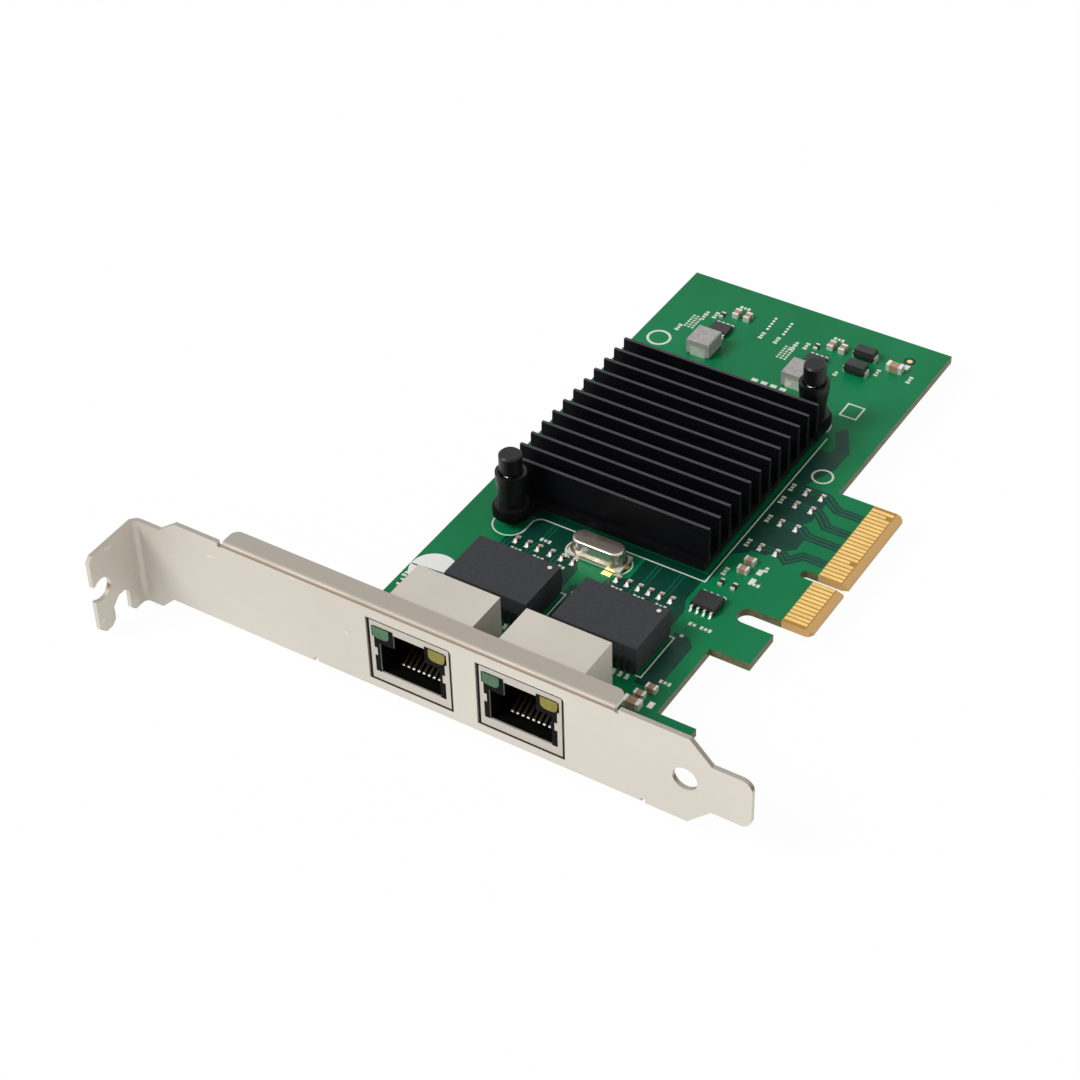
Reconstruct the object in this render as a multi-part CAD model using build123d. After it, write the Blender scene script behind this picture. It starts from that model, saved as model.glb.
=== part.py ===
from build123d import *
from math import radians, sin, cos
import os

# Low-profile expansion board with two network jacks and a full-height bracket.
# Board coordinates: X along the bracket, Y from the bracket's outer face into the
# board, Z up from the board's component face. Everything is written in millimetres.

# Circuit board
BOARD_WIDTH = 55.9
BOARD_FRONT = 1.3
BOARD_BACK = 129.4
BOARD_THICKNESS = 1.57
TONGUE_REACH = 13.0
TIP_BEVEL_RUN = 1.3
TIP_BEVEL_DROP = 0.45
TIP_CORNER = 0.6

# Edge connector
CONTACT_PITCH = 1.0
CONTACT_WIDTH = 0.7
CONTACT_LENGTH = 4.3
CONTACT_SHORT = 1.1
CONTACT_THICKNESS = 0.04
CONTACT_TIP_GAP = 1.5
FIRST_CONTACT_Y = 48.0
CONTACT_EDGE = 1.1
SHORT_SIDE_CONTACTS = 11
LONG_SIDE_CONTACTS = 21
KEY_NOTCH_WIDTH = 1.9
KEY_NOTCH_DEPTH = 8.8
SHORT_CONTACTS = (17, 31)

# Retention tab and front ear of the board
TAB_GAP = 3.8
TAB_WIDTH = 8.4
TAB_REACH = 7.6
TAB_SLOT_BITE = 0.3
EAR_REACH = 7.4
EAR_BACK = 16.9

# Bracket sheet
SHEET = 0.86
BRACKET_LEFT = -37.9
TAB_END_REACH = 19.8
BRACKET_TOP = 16.3
BRACKET_BOTTOM = -2.0
JOG_DROP = 2.8
JOG_TOP_X = -32.5
JOG_PEAK_X = -28.8
BEND_RADIUS = 1.0
FLANGE_DEPTH = 12.2
FLANGE_SLOT_Z = 5.4
FLANGE_SLOT_RADIUS = 2.25
FLANGE_MOUTH = 3.4
FINGER_WIDTH = 4.1
FINGER_BOTTOM = -3.9
LEG_WIDTH = 3.9
LEG_CUT_TOP = 1.2
RAIL_LEFT = -18.9
RAIL_INSET = 4.8
RAIL_DEPTH = 4.2
RAIL_TOP = 16.45
RAIL_CORNER = 1.6
LOWER_TAB_REACH = 12.7
LOWER_TAB_TOP = 12.2
LOWER_TAB_BOTTOM = 2.2
LOWER_TAB_RADIUS = 2.0
FLARE_TOP_REACH = 8.7
FLARE_BOTTOM_REACH = 8.5
SERVICE_HOLE_REACH = 7.95
SERVICE_HOLE_Z = 7.3
SERVICE_HOLE_RADIUS = 2.25
LIP_LEFT = -0.4
LIP_INSET = 0.6
LIP_DEPTH = 4.0
RELIEF = 0.8
FOOT_WIDTH = 8.6
FOOT_DEPTH = 11.0
FOOT_SCREW_Y = 6.6
FOOT_SCREW_INSET = 4.3

# Bracket screws
SCREW_RADIUS = 1.5
SCREW_HEAD_RADIUS = 2.7
SCREW_HEAD_HEIGHT = 1.6
SCREW_CROSS_SPAN = 2.6
SCREW_CROSS_WIDTH = 0.5
SCREW_TAIL = 1.2
SCREW_FIT = 0.05

# Network jacks
JACK_CENTRES = (18.8, 40.25)
JACK_NAMES = ("left", "right")
JACK_WIDTH = 16.3
JACK_HEIGHT = 13.4
JACK_FRONT = 0.15
JACK_BACK = 15.3
SHIELD_SHEET = 0.3
SHIELD_LEG_FRONT = 7.6
SHIELD_LEG_WIDTH = 1.4
SHIELD_LEG_FIT = 0.1
PORT_SIDE = 2.2
PORT_BOTTOM = 2.1
PORT_TOP = 8.6
PORT_DEPTH = 12.5
LATCH_WIDTH = 6.2
LATCH_TOP = 11.6
LIGHT_WIDTH = 2.6
LIGHT_HEIGHT = 1.9
LIGHT_INSET = 2.3
LIGHT_Z = 10.9
LIGHT_RECESS = 0.75
LIGHT_LENGTH = 10.0
OPENING_GAP = 0.25
WINDOW_CORNER = 0.8
JACK_CONTACTS = 8
JACK_CONTACT_PITCH = 1.02
JACK_CONTACT_WIDTH = 0.45
JACK_CONTACT_SHEET = 0.25
JACK_PIN_BELOW = 1.3

# Heatsink and what it cools
SINK_LEFT = 5.8
SINK_WIDTH = 40.7
SINK_FRONT = 49.4
SINK_DEPTH = 43.6
SINK_BASE = 1.3
SINK_HEIGHT = 8.3
FIN_COUNT = 12
FIN_ROOT = 1.15
FIN_TIP = 0.6
FIN_END_MARGIN = 1.75
PIN_OFFSET_X = 17.0
PIN_OFFSET_Y = 24.9
EAR_RADIUS = 3.6
CHIP_SIZE = 17.0
CHIP_HEIGHT = 1.6
PAD_THICKNESS = 0.3
PAD_SIZE = 15.0

# Push pins
PIN_HOLE_RADIUS = 1.6
PIN_SHANK_RADIUS = 1.5
PIN_BORE_RADIUS = 1.75
PIN_FLANGE_RADIUS = 3.2
PIN_FLANGE_HEIGHT = 0.9
BARREL_FOOT_RADIUS = 2.3
BARREL_RIM_RADIUS = 2.86
BARREL_HEIGHT = 7.9
BARREL_WALL_RADIUS = 1.9
CAP_RADIUS = 2.12
CAP_TOP = 15.1
CAP_OVER = 0.25
PIN_STEM_RADIUS = 0.75
TIP_BELOW = 2.0
TIP_RADIUS = 2.0
SPRING_TURNS = 4
SPRING_WIRE = 0.25
SPRING_RADIUS = 1.3

# Transformer modules
MODULE_CENTRES = (18.8, 40.35)
MODULE_WIDTH = 16.8
MODULE_DEPTH = 11.6
MODULE_Y = 28.3
MODULE_HEIGHT = 6.0
MODULE_STANDOFF = 0.35
MODULE_LEAD_COUNT = 12
MODULE_PITCH = 1.27

# Crystal
CRYSTAL_X = 27.8
CRYSTAL_Y = 45.2
CRYSTAL_LENGTH = 10.2
CRYSTAL_DEPTH = 3.8
CRYSTAL_RIM = 0.45
CRYSTAL_HEIGHT = 3.6
CRYSTAL_BASE = 0.7
CRYSTAL_FOOT = 2.2

# Small chips
MEMORY_CENTRE = (50.3, 43.9)
MEMORY_SIZE = (4.9, 3.9, 1.4)
REGULATOR_CENTRES = ((13.7, 114.4), (34.2, 114.4))
REGULATOR_SIZE = (4.0, 3.0, 1.0)
LEAD_SHEET = 0.2
LEAD_WIDTH = 0.42
LEAD_FOOT = 0.6
LEAD_RUN = 0.5

# Power parts
INDUCTOR_CENTRES = ((13.85, 107.6), (34.35, 107.6))
INDUCTOR_SIZE = (4.9, 5.2, 3.5)
INDUCTOR_FOOT = 0.3
DIODE_CENTRES = ((41.9, 120.6), (42.4, 115.6))
DIODE_SIZE = (4.3, 2.6, 2.2)
DIODE_FOOT = 0.25

# Chip capacitors and resistors: centre, length along X or Y
CAPACITOR_LARGE = (3.2, 1.6, 1.5)
CAPACITOR_MEDIUM = (2.0, 1.25, 1.1)
CAPACITOR_SMALL = (1.0, 0.5, 0.5)
RESISTOR_SMALL = (1.6, 0.8, 0.45)
TERMINAL_SHARE = 0.22
LARGE_CAPACITORS_X = ((48.5, 119.9), (51.6, 16.2))
MEDIUM_CAPACITORS_X = ((51.4, 57.2), (51.4, 54.6), (51.6, 18.7), (52.6, 20.9))
MEDIUM_CAPACITORS_Y = ((14.1, 120.4), (16.5, 120.4), (34.8, 120.4), (37.2, 120.4))
COUPLING_ROWS_Y = (79.3, 75.3, 69.5, 61.9)
COUPLING_COLUMNS_X = (50.9, 54.0)
FRONT_ROW_Y = 41.9
FRONT_ROW_X = (12.8, 15.2, 17.4, 20.0, 22.3, 24.6, 33.5, 35.7, 37.9, 40.0, 42.1, 44.3)
SMALL_RESISTORS_Y = ((11.6, 119.0), (32.3, 119.0), (1.6, 21.9), (49.5, 50.2), (52.0, 50.2))

# Round paper sticker
STICKER_CENTRE = (4.6, 27.5)
STICKER_RADIUS = 4.4
STICKER_THICKNESS = 0.1

# The bracket's right end keeps its distance from the board's front ear.
LIP_RIGHT = BOARD_WIDTH + EAR_REACH - LIP_INSET
RAIL_RIGHT = LIP_RIGHT - RAIL_INSET
SERVICE_HOLE_X = LIP_RIGHT + SERVICE_HOLE_REACH
FLARE_BOTTOM_X = LIP_RIGHT + FLARE_BOTTOM_REACH
FLARE_TOP_X = LIP_RIGHT + FLARE_TOP_REACH
LOWER_TAB_X = LIP_RIGHT + LOWER_TAB_REACH
BRACKET_RIGHT = LIP_RIGHT + TAB_END_REACH
PORT_WIDTH = JACK_WIDTH - 2 * PORT_SIDE
LIGHT_SPACING = JACK_WIDTH - 2 * LIGHT_INSET

# The finished part is moved so that its origin is the bottom centre of its box.
PART_LEFT = BRACKET_LEFT - SHEET
PART_BOTTOM = BRACKET_BOTTOM - JOG_DROP
ORIGIN = (
    -(PART_LEFT + BRACKET_RIGHT) / 2,
    -(BOARD_BACK - FLANGE_DEPTH) / 2,
    -PART_BOTTOM,
)

BOARD_BOTTOM = -BOARD_THICKNESS
BOARD_OVERALL_WIDTH = BOARD_WIDTH + TONGUE_REACH
TONGUE_NEAR = FIRST_CONTACT_Y - CONTACT_EDGE
KEY_NEAR = FIRST_CONTACT_Y + (SHORT_SIDE_CONTACTS - 1) * CONTACT_PITCH + 0.55
LONG_FIRST_Y = FIRST_CONTACT_Y + (SHORT_SIDE_CONTACTS + 2) * CONTACT_PITCH
TONGUE_FAR = LONG_FIRST_Y + (LONG_SIDE_CONTACTS - 1) * CONTACT_PITCH + CONTACT_EDGE
TAB_FAR = TONGUE_NEAR - TAB_GAP
SINK_BOTTOM = CHIP_HEIGHT + PAD_THICKNESS
SINK_CENTRE_X = SINK_LEFT + SINK_WIDTH / 2
SINK_CENTRE_Y = SINK_FRONT + SINK_DEPTH / 2
EAR_TOP = SINK_BOTTOM + SINK_BASE
PIN_PLACES = (
    (SINK_CENTRE_X - PIN_OFFSET_X, SINK_CENTRE_Y - PIN_OFFSET_Y),
    (SINK_CENTRE_X + PIN_OFFSET_X, SINK_CENTRE_Y + PIN_OFFSET_Y),
)
SCREW_PLACES = (
    (LIP_LEFT + FOOT_SCREW_INSET, FOOT_SCREW_Y),
    (LIP_RIGHT - FOOT_SCREW_INSET, FOOT_SCREW_Y),
)


def block(x0, x1, y0, y1, z0, z1):
    """A box between two opposite corners."""
    centre = ((x0 + x1) / 2, (y0 + y1) / 2, (z0 + z1) / 2)
    return Pos(*centre) * Box(x1 - x0, y1 - y0, z1 - z0)


def plate(points, z0, z1):
    """A flat outline in XY, extruded from z0 up to z1."""
    face = make_face(Polyline(*points, close=True))
    return Pos(0, 0, z0) * extrude(face, z1 - z0)


def front_plate(points, y0, y1):
    """An outline of (x, z) points, extruded along Y from y0 to y1."""
    wire = Polyline(*[(x, y0, z) for x, z in points], close=True)
    return extrude(make_face(wire), y1 - y0, dir=(0, 1, 0))


def side_plate(points, x0, x1):
    """An outline of (y, z) points, extruded along X from x0 to x1."""
    wire = Polyline(*[(x0, y, z) for y, z in points], close=True)
    return extrude(make_face(wire), x1 - x0, dir=(1, 0, 0))


def drum(x, y, z0, z1, radius):
    """An upright cylinder."""
    return Pos(x, y, (z0 + z1) / 2) * Cylinder(radius, z1 - z0)


def turned(x, y, profile):
    """A solid turned about the upright line at x, y from (radius, z) points."""
    face = make_face(Polyline(*[(r, 0, z) for r, z in profile], close=True))
    return Pos(x, y, 0) * revolve(face, Axis.Z, 360)


def save(name, solids):
    """Move the solids to the part's origin and write them as one node."""
    placed = [Pos(*ORIGIN) * solid for solid in solids]
    shape = placed[0] if len(placed) == 1 else Compound(children=placed)
    export_step(shape, f"parts/{name}.step")


def circuit_board():
    """The board with its contact tongue, retention tab, front ear and holes."""
    z0, z1 = BOARD_BOTTOM, 0
    tip = BOARD_OVERALL_WIDTH
    body = block(0, BOARD_WIDTH, BOARD_FRONT, BOARD_BACK, z0, z1)
    tongue = plate([
        (BOARD_WIDTH - 1, TONGUE_NEAR),
        (tip - TIP_CORNER, TONGUE_NEAR),
        (tip, TONGUE_NEAR + TIP_CORNER),
        (tip, TONGUE_FAR - TIP_CORNER),
        (tip - TIP_CORNER, TONGUE_FAR),
        (BOARD_WIDTH - 1, TONGUE_FAR),
    ], z0, z1)
    tab = block(BOARD_WIDTH - 1, BOARD_WIDTH + TAB_REACH, TAB_FAR - TAB_WIDTH, TAB_FAR, z0, z1)
    ear = block(BOARD_WIDTH - 1, BOARD_WIDTH + EAR_REACH, BOARD_FRONT, EAR_BACK, z0, z1)
    board = body + tongue + tab + ear
    board -= rounded_slot(BOARD_WIDTH - TAB_SLOT_BITE, tip, TAB_FAR, TONGUE_NEAR)
    key_far = KEY_NEAR + KEY_NOTCH_WIDTH
    board -= rounded_slot(tip - KEY_NOTCH_DEPTH, tip + 1, KEY_NEAR, key_far)
    for side in (0, 1):
        face = z1 if side else z0
        drop = TIP_BEVEL_DROP if side else -TIP_BEVEL_DROP
        wire = Polyline(
            (tip - TIP_BEVEL_RUN, TONGUE_NEAR - 1, face),
            (tip + 1, TONGUE_NEAR - 1, face),
            (tip + 1, TONGUE_NEAR - 1, face - drop * (TIP_BEVEL_RUN + 1) / TIP_BEVEL_RUN),
            close=True,
        )
        board -= extrude(make_face(wire), TONGUE_FAR - TONGUE_NEAR + 2, dir=(0, 1, 0))
    for x, y in PIN_PLACES:
        board -= drum(x, y, z0 - 1, z1 + 1, PIN_HOLE_RADIUS)
    for x, y in SCREW_PLACES:
        board -= drum(x, y, z0 - 1, z1 + 1, SCREW_RADIUS + SCREW_FIT)
    return board


def rounded_slot(x0, x1, y0, y1):
    """A slot cutter through the board, round at its inner end x0."""
    radius = (y1 - y0) / 2
    low, high = BOARD_BOTTOM - 1, 1
    straight = block(x0 + radius, x1, y0, y1, low, high)
    return straight + drum(x0 + radius, (y0 + y1) / 2, low, high, radius)


def contact_places():
    """Number and centre height along Y of each edge contact."""
    places = []
    for index in range(SHORT_SIDE_CONTACTS):
        places.append((index + 1, FIRST_CONTACT_Y + index * CONTACT_PITCH))
    for index in range(LONG_SIDE_CONTACTS):
        number = SHORT_SIDE_CONTACTS + index + 1
        places.append((number, LONG_FIRST_Y + index * CONTACT_PITCH))
    return places


def edge_contacts(z0, z1):
    """One row of flat gold contacts; the presence contacts are shorter."""
    inner = BOARD_OVERALL_WIDTH - CONTACT_TIP_GAP - CONTACT_LENGTH
    contacts = []
    for number, y in contact_places():
        outer = BOARD_OVERALL_WIDTH - CONTACT_TIP_GAP
        if number in SHORT_CONTACTS:
            outer -= CONTACT_SHORT
        contacts.append(block(inner, outer, y - CONTACT_WIDTH / 2, y + CONTACT_WIDTH / 2, z0, z1))
    return contacts


def bracket_face():
    """The upright sheet: jogged end, wide middle, flare and narrow lower tab."""
    top, bottom = BRACKET_TOP, BRACKET_BOTTOM
    low_top, low_bottom = top - JOG_DROP, bottom - JOG_DROP
    start = BRACKET_LEFT + BEND_RADIUS
    face = front_plate([
        (start, low_bottom),
        (JOG_TOP_X - 1.7, low_bottom),
        (JOG_TOP_X + JOG_DROP - 1.7, bottom),
        (LIP_LEFT - RELIEF, bottom),
        (LIP_LEFT - RELIEF, bottom + RELIEF),
        (LIP_LEFT, bottom + RELIEF),
        (LIP_LEFT, BOARD_BOTTOM - SHEET + BEND_RADIUS),
        (LIP_RIGHT, BOARD_BOTTOM - SHEET + BEND_RADIUS),
        (LIP_RIGHT, bottom + RELIEF),
        (LIP_RIGHT + RELIEF, bottom + RELIEF),
        (LIP_RIGHT + RELIEF, bottom),
        (FLARE_BOTTOM_X, bottom),
        (LOWER_TAB_X, LOWER_TAB_BOTTOM),
        (BRACKET_RIGHT, LOWER_TAB_BOTTOM),
        (BRACKET_RIGHT, LOWER_TAB_TOP),
        (LOWER_TAB_X, LOWER_TAB_TOP),
        (FLARE_TOP_X, top),
        (RAIL_RIGHT + RELIEF, top),
        (RAIL_RIGHT + RELIEF, RAIL_TOP - BEND_RADIUS),
        (RAIL_LEFT - RELIEF, RAIL_TOP - BEND_RADIUS),
        (RAIL_LEFT - RELIEF, top),
        (JOG_PEAK_X, top),
        (JOG_TOP_X, low_top),
        (start, low_top),
    ], 0, SHEET)
    corners = face.edges().filter_by(Axis.Y).group_by(Axis.X)[-1]
    face = fillet(corners, LOWER_TAB_RADIUS)
    for x in JACK_CENTRES:
        face -= jack_window(x)
    hole = Pos(SERVICE_HOLE_X, SHEET / 2, SERVICE_HOLE_Z) * Rot(90, 0, 0)
    return face - hole * Cylinder(SERVICE_HOLE_RADIUS, SHEET * 3)


def jack_window(x):
    """Cutter for the rectangular window that a jack looks through."""
    half = JACK_WIDTH / 2 + OPENING_GAP
    window = block(x - half, x + half, -1, SHEET + 1, -OPENING_GAP / 4, JACK_HEIGHT + OPENING_GAP)
    corner = window.edges().filter_by(Axis.Y).group_by(Axis.X)[-1].group_by(Axis.Z)[-1]
    return fillet(corner, WINDOW_CORNER)


def bend(x0, x1, z_outer, upward):
    """Quarter-round bend that turns the upright sheet inward, as (y, z) profile."""
    turn = 1 if upward else -1
    centre_z = z_outer - turn * BEND_RADIUS
    outer = [(BEND_RADIUS - BEND_RADIUS * cos(radians(a)),
              centre_z + turn * BEND_RADIUS * sin(radians(a))) for a in range(0, 91, 15)]
    inner_radius = BEND_RADIUS - SHEET
    inner = [(BEND_RADIUS - inner_radius * cos(radians(a)),
              centre_z + turn * inner_radius * sin(radians(a))) for a in range(90, -1, -45)]
    return side_plate(outer + inner, x0, x1)


def bracket_rail():
    """Short stiffening rail along the top, bent inward, with round corners."""
    z0, z1 = RAIL_TOP - SHEET, RAIL_TOP
    flat = block(RAIL_LEFT, RAIL_RIGHT, BEND_RADIUS, RAIL_DEPTH, z0, z1)
    corners = flat.edges().filter_by(Axis.Z).group_by(Axis.Y)[-1]
    return fillet(corners, RAIL_CORNER) + bend(RAIL_LEFT, RAIL_RIGHT, RAIL_TOP, True)


def bracket_lip():
    """Lip under the board with the two tapped feet that the board is screwed to."""
    z0, z1 = BOARD_BOTTOM - SHEET, BOARD_BOTTOM
    lip = block(LIP_LEFT, LIP_RIGHT, BEND_RADIUS, LIP_DEPTH, z0, z1)
    lip += block(LIP_LEFT, LIP_LEFT + FOOT_WIDTH, BEND_RADIUS, FOOT_DEPTH, z0, z1)
    lip += block(LIP_RIGHT - FOOT_WIDTH, LIP_RIGHT, BEND_RADIUS, FOOT_DEPTH, z0, z1)
    lip += bend(LIP_LEFT, LIP_RIGHT, z0, False)
    for x, y in SCREW_PLACES:
        lip -= drum(x, y, z0 - 1, z1 + 1, SCREW_RADIUS + SCREW_FIT)
    return lip


def bracket_flange():
    """Flange bent outward at the end, with its open screw slot and long finger."""
    x0, x1 = BRACKET_LEFT - SHEET, BRACKET_LEFT
    top, bottom = BRACKET_TOP - JOG_DROP, BRACKET_BOTTOM - JOG_DROP
    outer = -FLANGE_DEPTH
    start = -BEND_RADIUS + SHEET
    mouth = FLANGE_MOUTH / 2
    flange = side_plate([
        (start, top),
        (outer + 1, top),
        (outer, top - 1),
        (outer, FINGER_BOTTOM + 1.4),
        (outer + 1.4, FINGER_BOTTOM),
        (outer + FINGER_WIDTH - 1, FINGER_BOTTOM),
        (outer + FINGER_WIDTH, FINGER_BOTTOM + 1),
        (outer + FINGER_WIDTH, LEG_CUT_TOP - 1.5),
        (outer + FINGER_WIDTH + 1.5, LEG_CUT_TOP),
        (-LEG_WIDTH - 1, LEG_CUT_TOP),
        (-LEG_WIDTH, LEG_CUT_TOP - 1),
        (-LEG_WIDTH, bottom + 1),
        (-LEG_WIDTH + 1, bottom),
        (start, bottom),
    ], x0, x1)
    slot_y = outer + 2.0
    hole = Pos((x0 + x1) / 2, slot_y, FLANGE_SLOT_Z) * Rot(0, 90, 0)
    flange -= hole * Cylinder(FLANGE_SLOT_RADIUS, SHEET * 3)
    low, high = FLANGE_SLOT_Z - mouth, FLANGE_SLOT_Z + mouth
    flange -= block(x0 - 1, x1 + 1, outer - 1, slot_y, low, high)
    return flange + flange_corner(x0, x1, bottom, top)


def flange_corner(x0, x1, bottom, top):
    """Quarter-round bend between the flange and the upright sheet."""
    centre_x, centre_y = x1 + BEND_RADIUS, SHEET - BEND_RADIUS - SHEET
    outer_radius = BEND_RADIUS + SHEET
    angles = range(180, 89, -15)
    outer = [(centre_x + outer_radius * cos(radians(a)),
              centre_y + outer_radius * sin(radians(a))) for a in angles]
    inner = [(centre_x + BEND_RADIUS * cos(radians(a)),
              centre_y + BEND_RADIUS * sin(radians(a))) for a in reversed(angles)]
    return plate(outer + inner, bottom, top)


def bracket():
    """The folded sheet bracket as one solid."""
    return bracket_face() + bracket_rail() + bracket_lip() + bracket_flange()


def bracket_screws():
    """Pan-head screws that pass through the board into the bracket's feet."""
    screws = []
    for x, y in SCREW_PLACES:
        shank = drum(x, y, BOARD_BOTTOM - SHEET - SCREW_TAIL, 0.5, SCREW_RADIUS)
        head = drum(x, y, 0, SCREW_HEAD_HEIGHT, SCREW_HEAD_RADIUS)
        head = fillet(head.edges().group_by(Axis.Z)[-1], 0.7)
        recess = drum(x, y, SCREW_HEAD_HEIGHT - 0.9, SCREW_HEAD_HEIGHT + 1, 0.5)
        for angle in (0, 90):
            cross = Box(SCREW_CROSS_SPAN, SCREW_CROSS_WIDTH, SCREW_HEAD_HEIGHT)
            arm = Pos(x, y, SCREW_HEAD_HEIGHT) * Rot(0, 0, angle) * cross
            recess += arm
        screws.append(shank + head - recess)
    return screws


def port_cutter(x, front, back):
    """Plug socket with its latch channel; the latch side faces up."""
    socket = block(x - PORT_WIDTH / 2, x + PORT_WIDTH / 2, front, back, PORT_BOTTOM, PORT_TOP)
    latch = block(x - LATCH_WIDTH / 2, x + LATCH_WIDTH / 2, front, back, PORT_TOP - 1, LATCH_TOP)
    return socket + latch


def light_box(x, side, y0, y1, grow):
    """Space of one indicator at the upper left or right of a jack."""
    centre = x + side * LIGHT_SPACING / 2
    half = LIGHT_WIDTH / 2 + grow
    low, high = LIGHT_Z - LIGHT_HEIGHT / 2 - grow, LIGHT_Z + LIGHT_HEIGHT / 2 + grow
    return block(centre - half, centre + half, y0, y1, low, high)


def contact_xs(x):
    """Centres of the eight spring contacts of the jack at x."""
    middle = (JACK_CONTACTS - 1) / 2
    return [x + (index - middle) * JACK_CONTACT_PITCH for index in range(JACK_CONTACTS)]


def contact_profile():
    """Side profile of one spring contact, as (y, z) points of its centre line."""
    return [
        (PORT_DEPTH + 1.3, -BOARD_THICKNESS - JACK_PIN_BELOW),
        (PORT_DEPTH + 1.3, 1.2),
        (4.2, 1.2),
        (3.2, 2.3),
        (8.4, 5.0),
    ]


def strip(points, thickness, x0, x1):
    """A bent strip that follows (y, z) points, from x0 to x1."""
    wire = Polyline(*[(x0, y, z) for y, z in points])
    return wire_strip(wire, thickness, x1 - x0)


def wire_strip(wire, thickness, width):
    """Thicken a planar wire and extrude it along X."""
    pieces = None
    for edge in wire.edges():
        start, end = edge.position_at(0), edge.position_at(1)
        along = (end - start).normalized()
        side = Vector(0, -along.Z, along.Y) * (thickness / 2)
        reach = along * (thickness / 2)
        corners = [start - reach + side, end + reach + side, end + reach - side, start - reach - side]
        face = make_face(Polyline(*corners, close=True))
        piece = extrude(face, width, dir=(1, 0, 0))
        pieces = piece if pieces is None else pieces + piece
    return pieces


def jack_contacts(x):
    """Eight springs, bent up into the socket and down through the board."""
    half = JACK_CONTACT_WIDTH / 2
    return [strip(contact_profile(), JACK_CONTACT_SHEET, centre - half, centre + half)
            for centre in contact_xs(x)]


def jack_housing(x):
    """Moulded body with the socket, light tunnels and channels for the springs."""
    half = JACK_WIDTH / 2 - SHIELD_SHEET
    body = block(x - half, x + half, JACK_FRONT + SHIELD_SHEET, JACK_BACK - SHIELD_SHEET,
                 0, JACK_HEIGHT - SHIELD_SHEET)
    body -= port_cutter(x, -1, PORT_DEPTH)
    for side in (-1, 1):
        body -= light_box(x, side, -1, LIGHT_RECESS + LIGHT_LENGTH, 0.1)
    reach = contact_xs(x)[-1] - x + JACK_CONTACT_WIDTH
    gap = JACK_CONTACT_SHEET
    body -= block(x - reach, x + reach, 2.6, PORT_DEPTH + 1.3 + gap, 1.2 - gap, PORT_BOTTOM + 1)
    body -= block(x - reach, x + reach, PORT_DEPTH + 1.3 - gap, PORT_DEPTH + 1.3 + gap, -1, PORT_BOTTOM)
    return body


def jack_shield(x):
    """Folded metal can: open below, with a framed front and two legs."""
    half = JACK_WIDTH / 2
    can = block(x - half, x + half, JACK_FRONT, JACK_BACK, 0, JACK_HEIGHT)
    inner = half - SHIELD_SHEET
    can -= block(x - inner, x + inner, JACK_FRONT + SHIELD_SHEET, JACK_BACK - SHIELD_SHEET,
                 -1, JACK_HEIGHT - SHIELD_SHEET)
    can -= port_cutter(x, -1, JACK_FRONT + 1)
    for side in (-1, 1):
        can -= light_box(x, side, -1, JACK_FRONT + 1, 0.25)
        edge = x + side * (half - SHIELD_SHEET / 2)
        can += block(edge - SHIELD_SHEET / 2, edge + SHIELD_SHEET / 2,
                     SHIELD_LEG_FRONT, SHIELD_LEG_FRONT + SHIELD_LEG_WIDTH,
                     BOARD_BOTTOM - JACK_PIN_BELOW, 0.5)
    return can


def board_with_jack_holes(board):
    """Slots for the shield legs and holes for the rows of contact pins."""
    for x in JACK_CENTRES:
        for side in (-1, 1):
            edge = x + side * (JACK_WIDTH - SHIELD_SHEET) / 2
            half = SHIELD_SHEET / 2 + SHIELD_LEG_FIT
            near = SHIELD_LEG_FRONT - SHIELD_LEG_FIT
            far = SHIELD_LEG_FRONT + SHIELD_LEG_WIDTH + SHIELD_LEG_FIT
            board -= block(edge - half, edge + half, near, far, BOARD_BOTTOM - 1, 1)
        half = JACK_CONTACT_WIDTH / 2 + 0.05
        for pin in contact_xs(x):
            centre = PORT_DEPTH + 1.3
            board -= block(pin - half, pin + half, centre - 0.25, centre + 0.25, BOARD_BOTTOM - 1, 1)
    return board


def heatsink():
    """Cast base with two diagonal pin ears and twelve tapered fins."""
    z0, z1 = SINK_BOTTOM, EAR_TOP
    right, back = SINK_LEFT + SINK_WIDTH, SINK_FRONT + SINK_DEPTH
    sink = block(SINK_LEFT, right, SINK_FRONT, back, z0, z1)
    for (x, y), side in zip(PIN_PLACES, (-1, 1)):
        edge_y = SINK_FRONT if side < 0 else back
        inner = edge_y - side * 2
        sink += block(x - EAR_RADIUS, x + EAR_RADIUS, min(y, inner), max(y, inner), z0, z1)
        sink += drum(x, y, z0, z1, EAR_RADIUS)
        sink -= drum(x, y, z0 - 1, z1 + 1, PIN_BORE_RADIUS)
    pitch = (SINK_DEPTH - 2 * FIN_END_MARGIN) / (FIN_COUNT - 1)
    top = SINK_BOTTOM + SINK_HEIGHT
    for index in range(FIN_COUNT):
        y = SINK_FRONT + FIN_END_MARGIN + index * pitch
        sink += side_plate([
            (y - FIN_ROOT / 2, z1 - 0.2),
            (y + FIN_ROOT / 2, z1 - 0.2),
            (y + FIN_TIP / 2, top),
            (y - FIN_TIP / 2, top),
        ], SINK_LEFT, right)
    for x, y in PIN_PLACES:
        sink -= drum(x, y, z1, top + 1, PIN_FLANGE_RADIUS + 0.15)
    return sink


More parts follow.
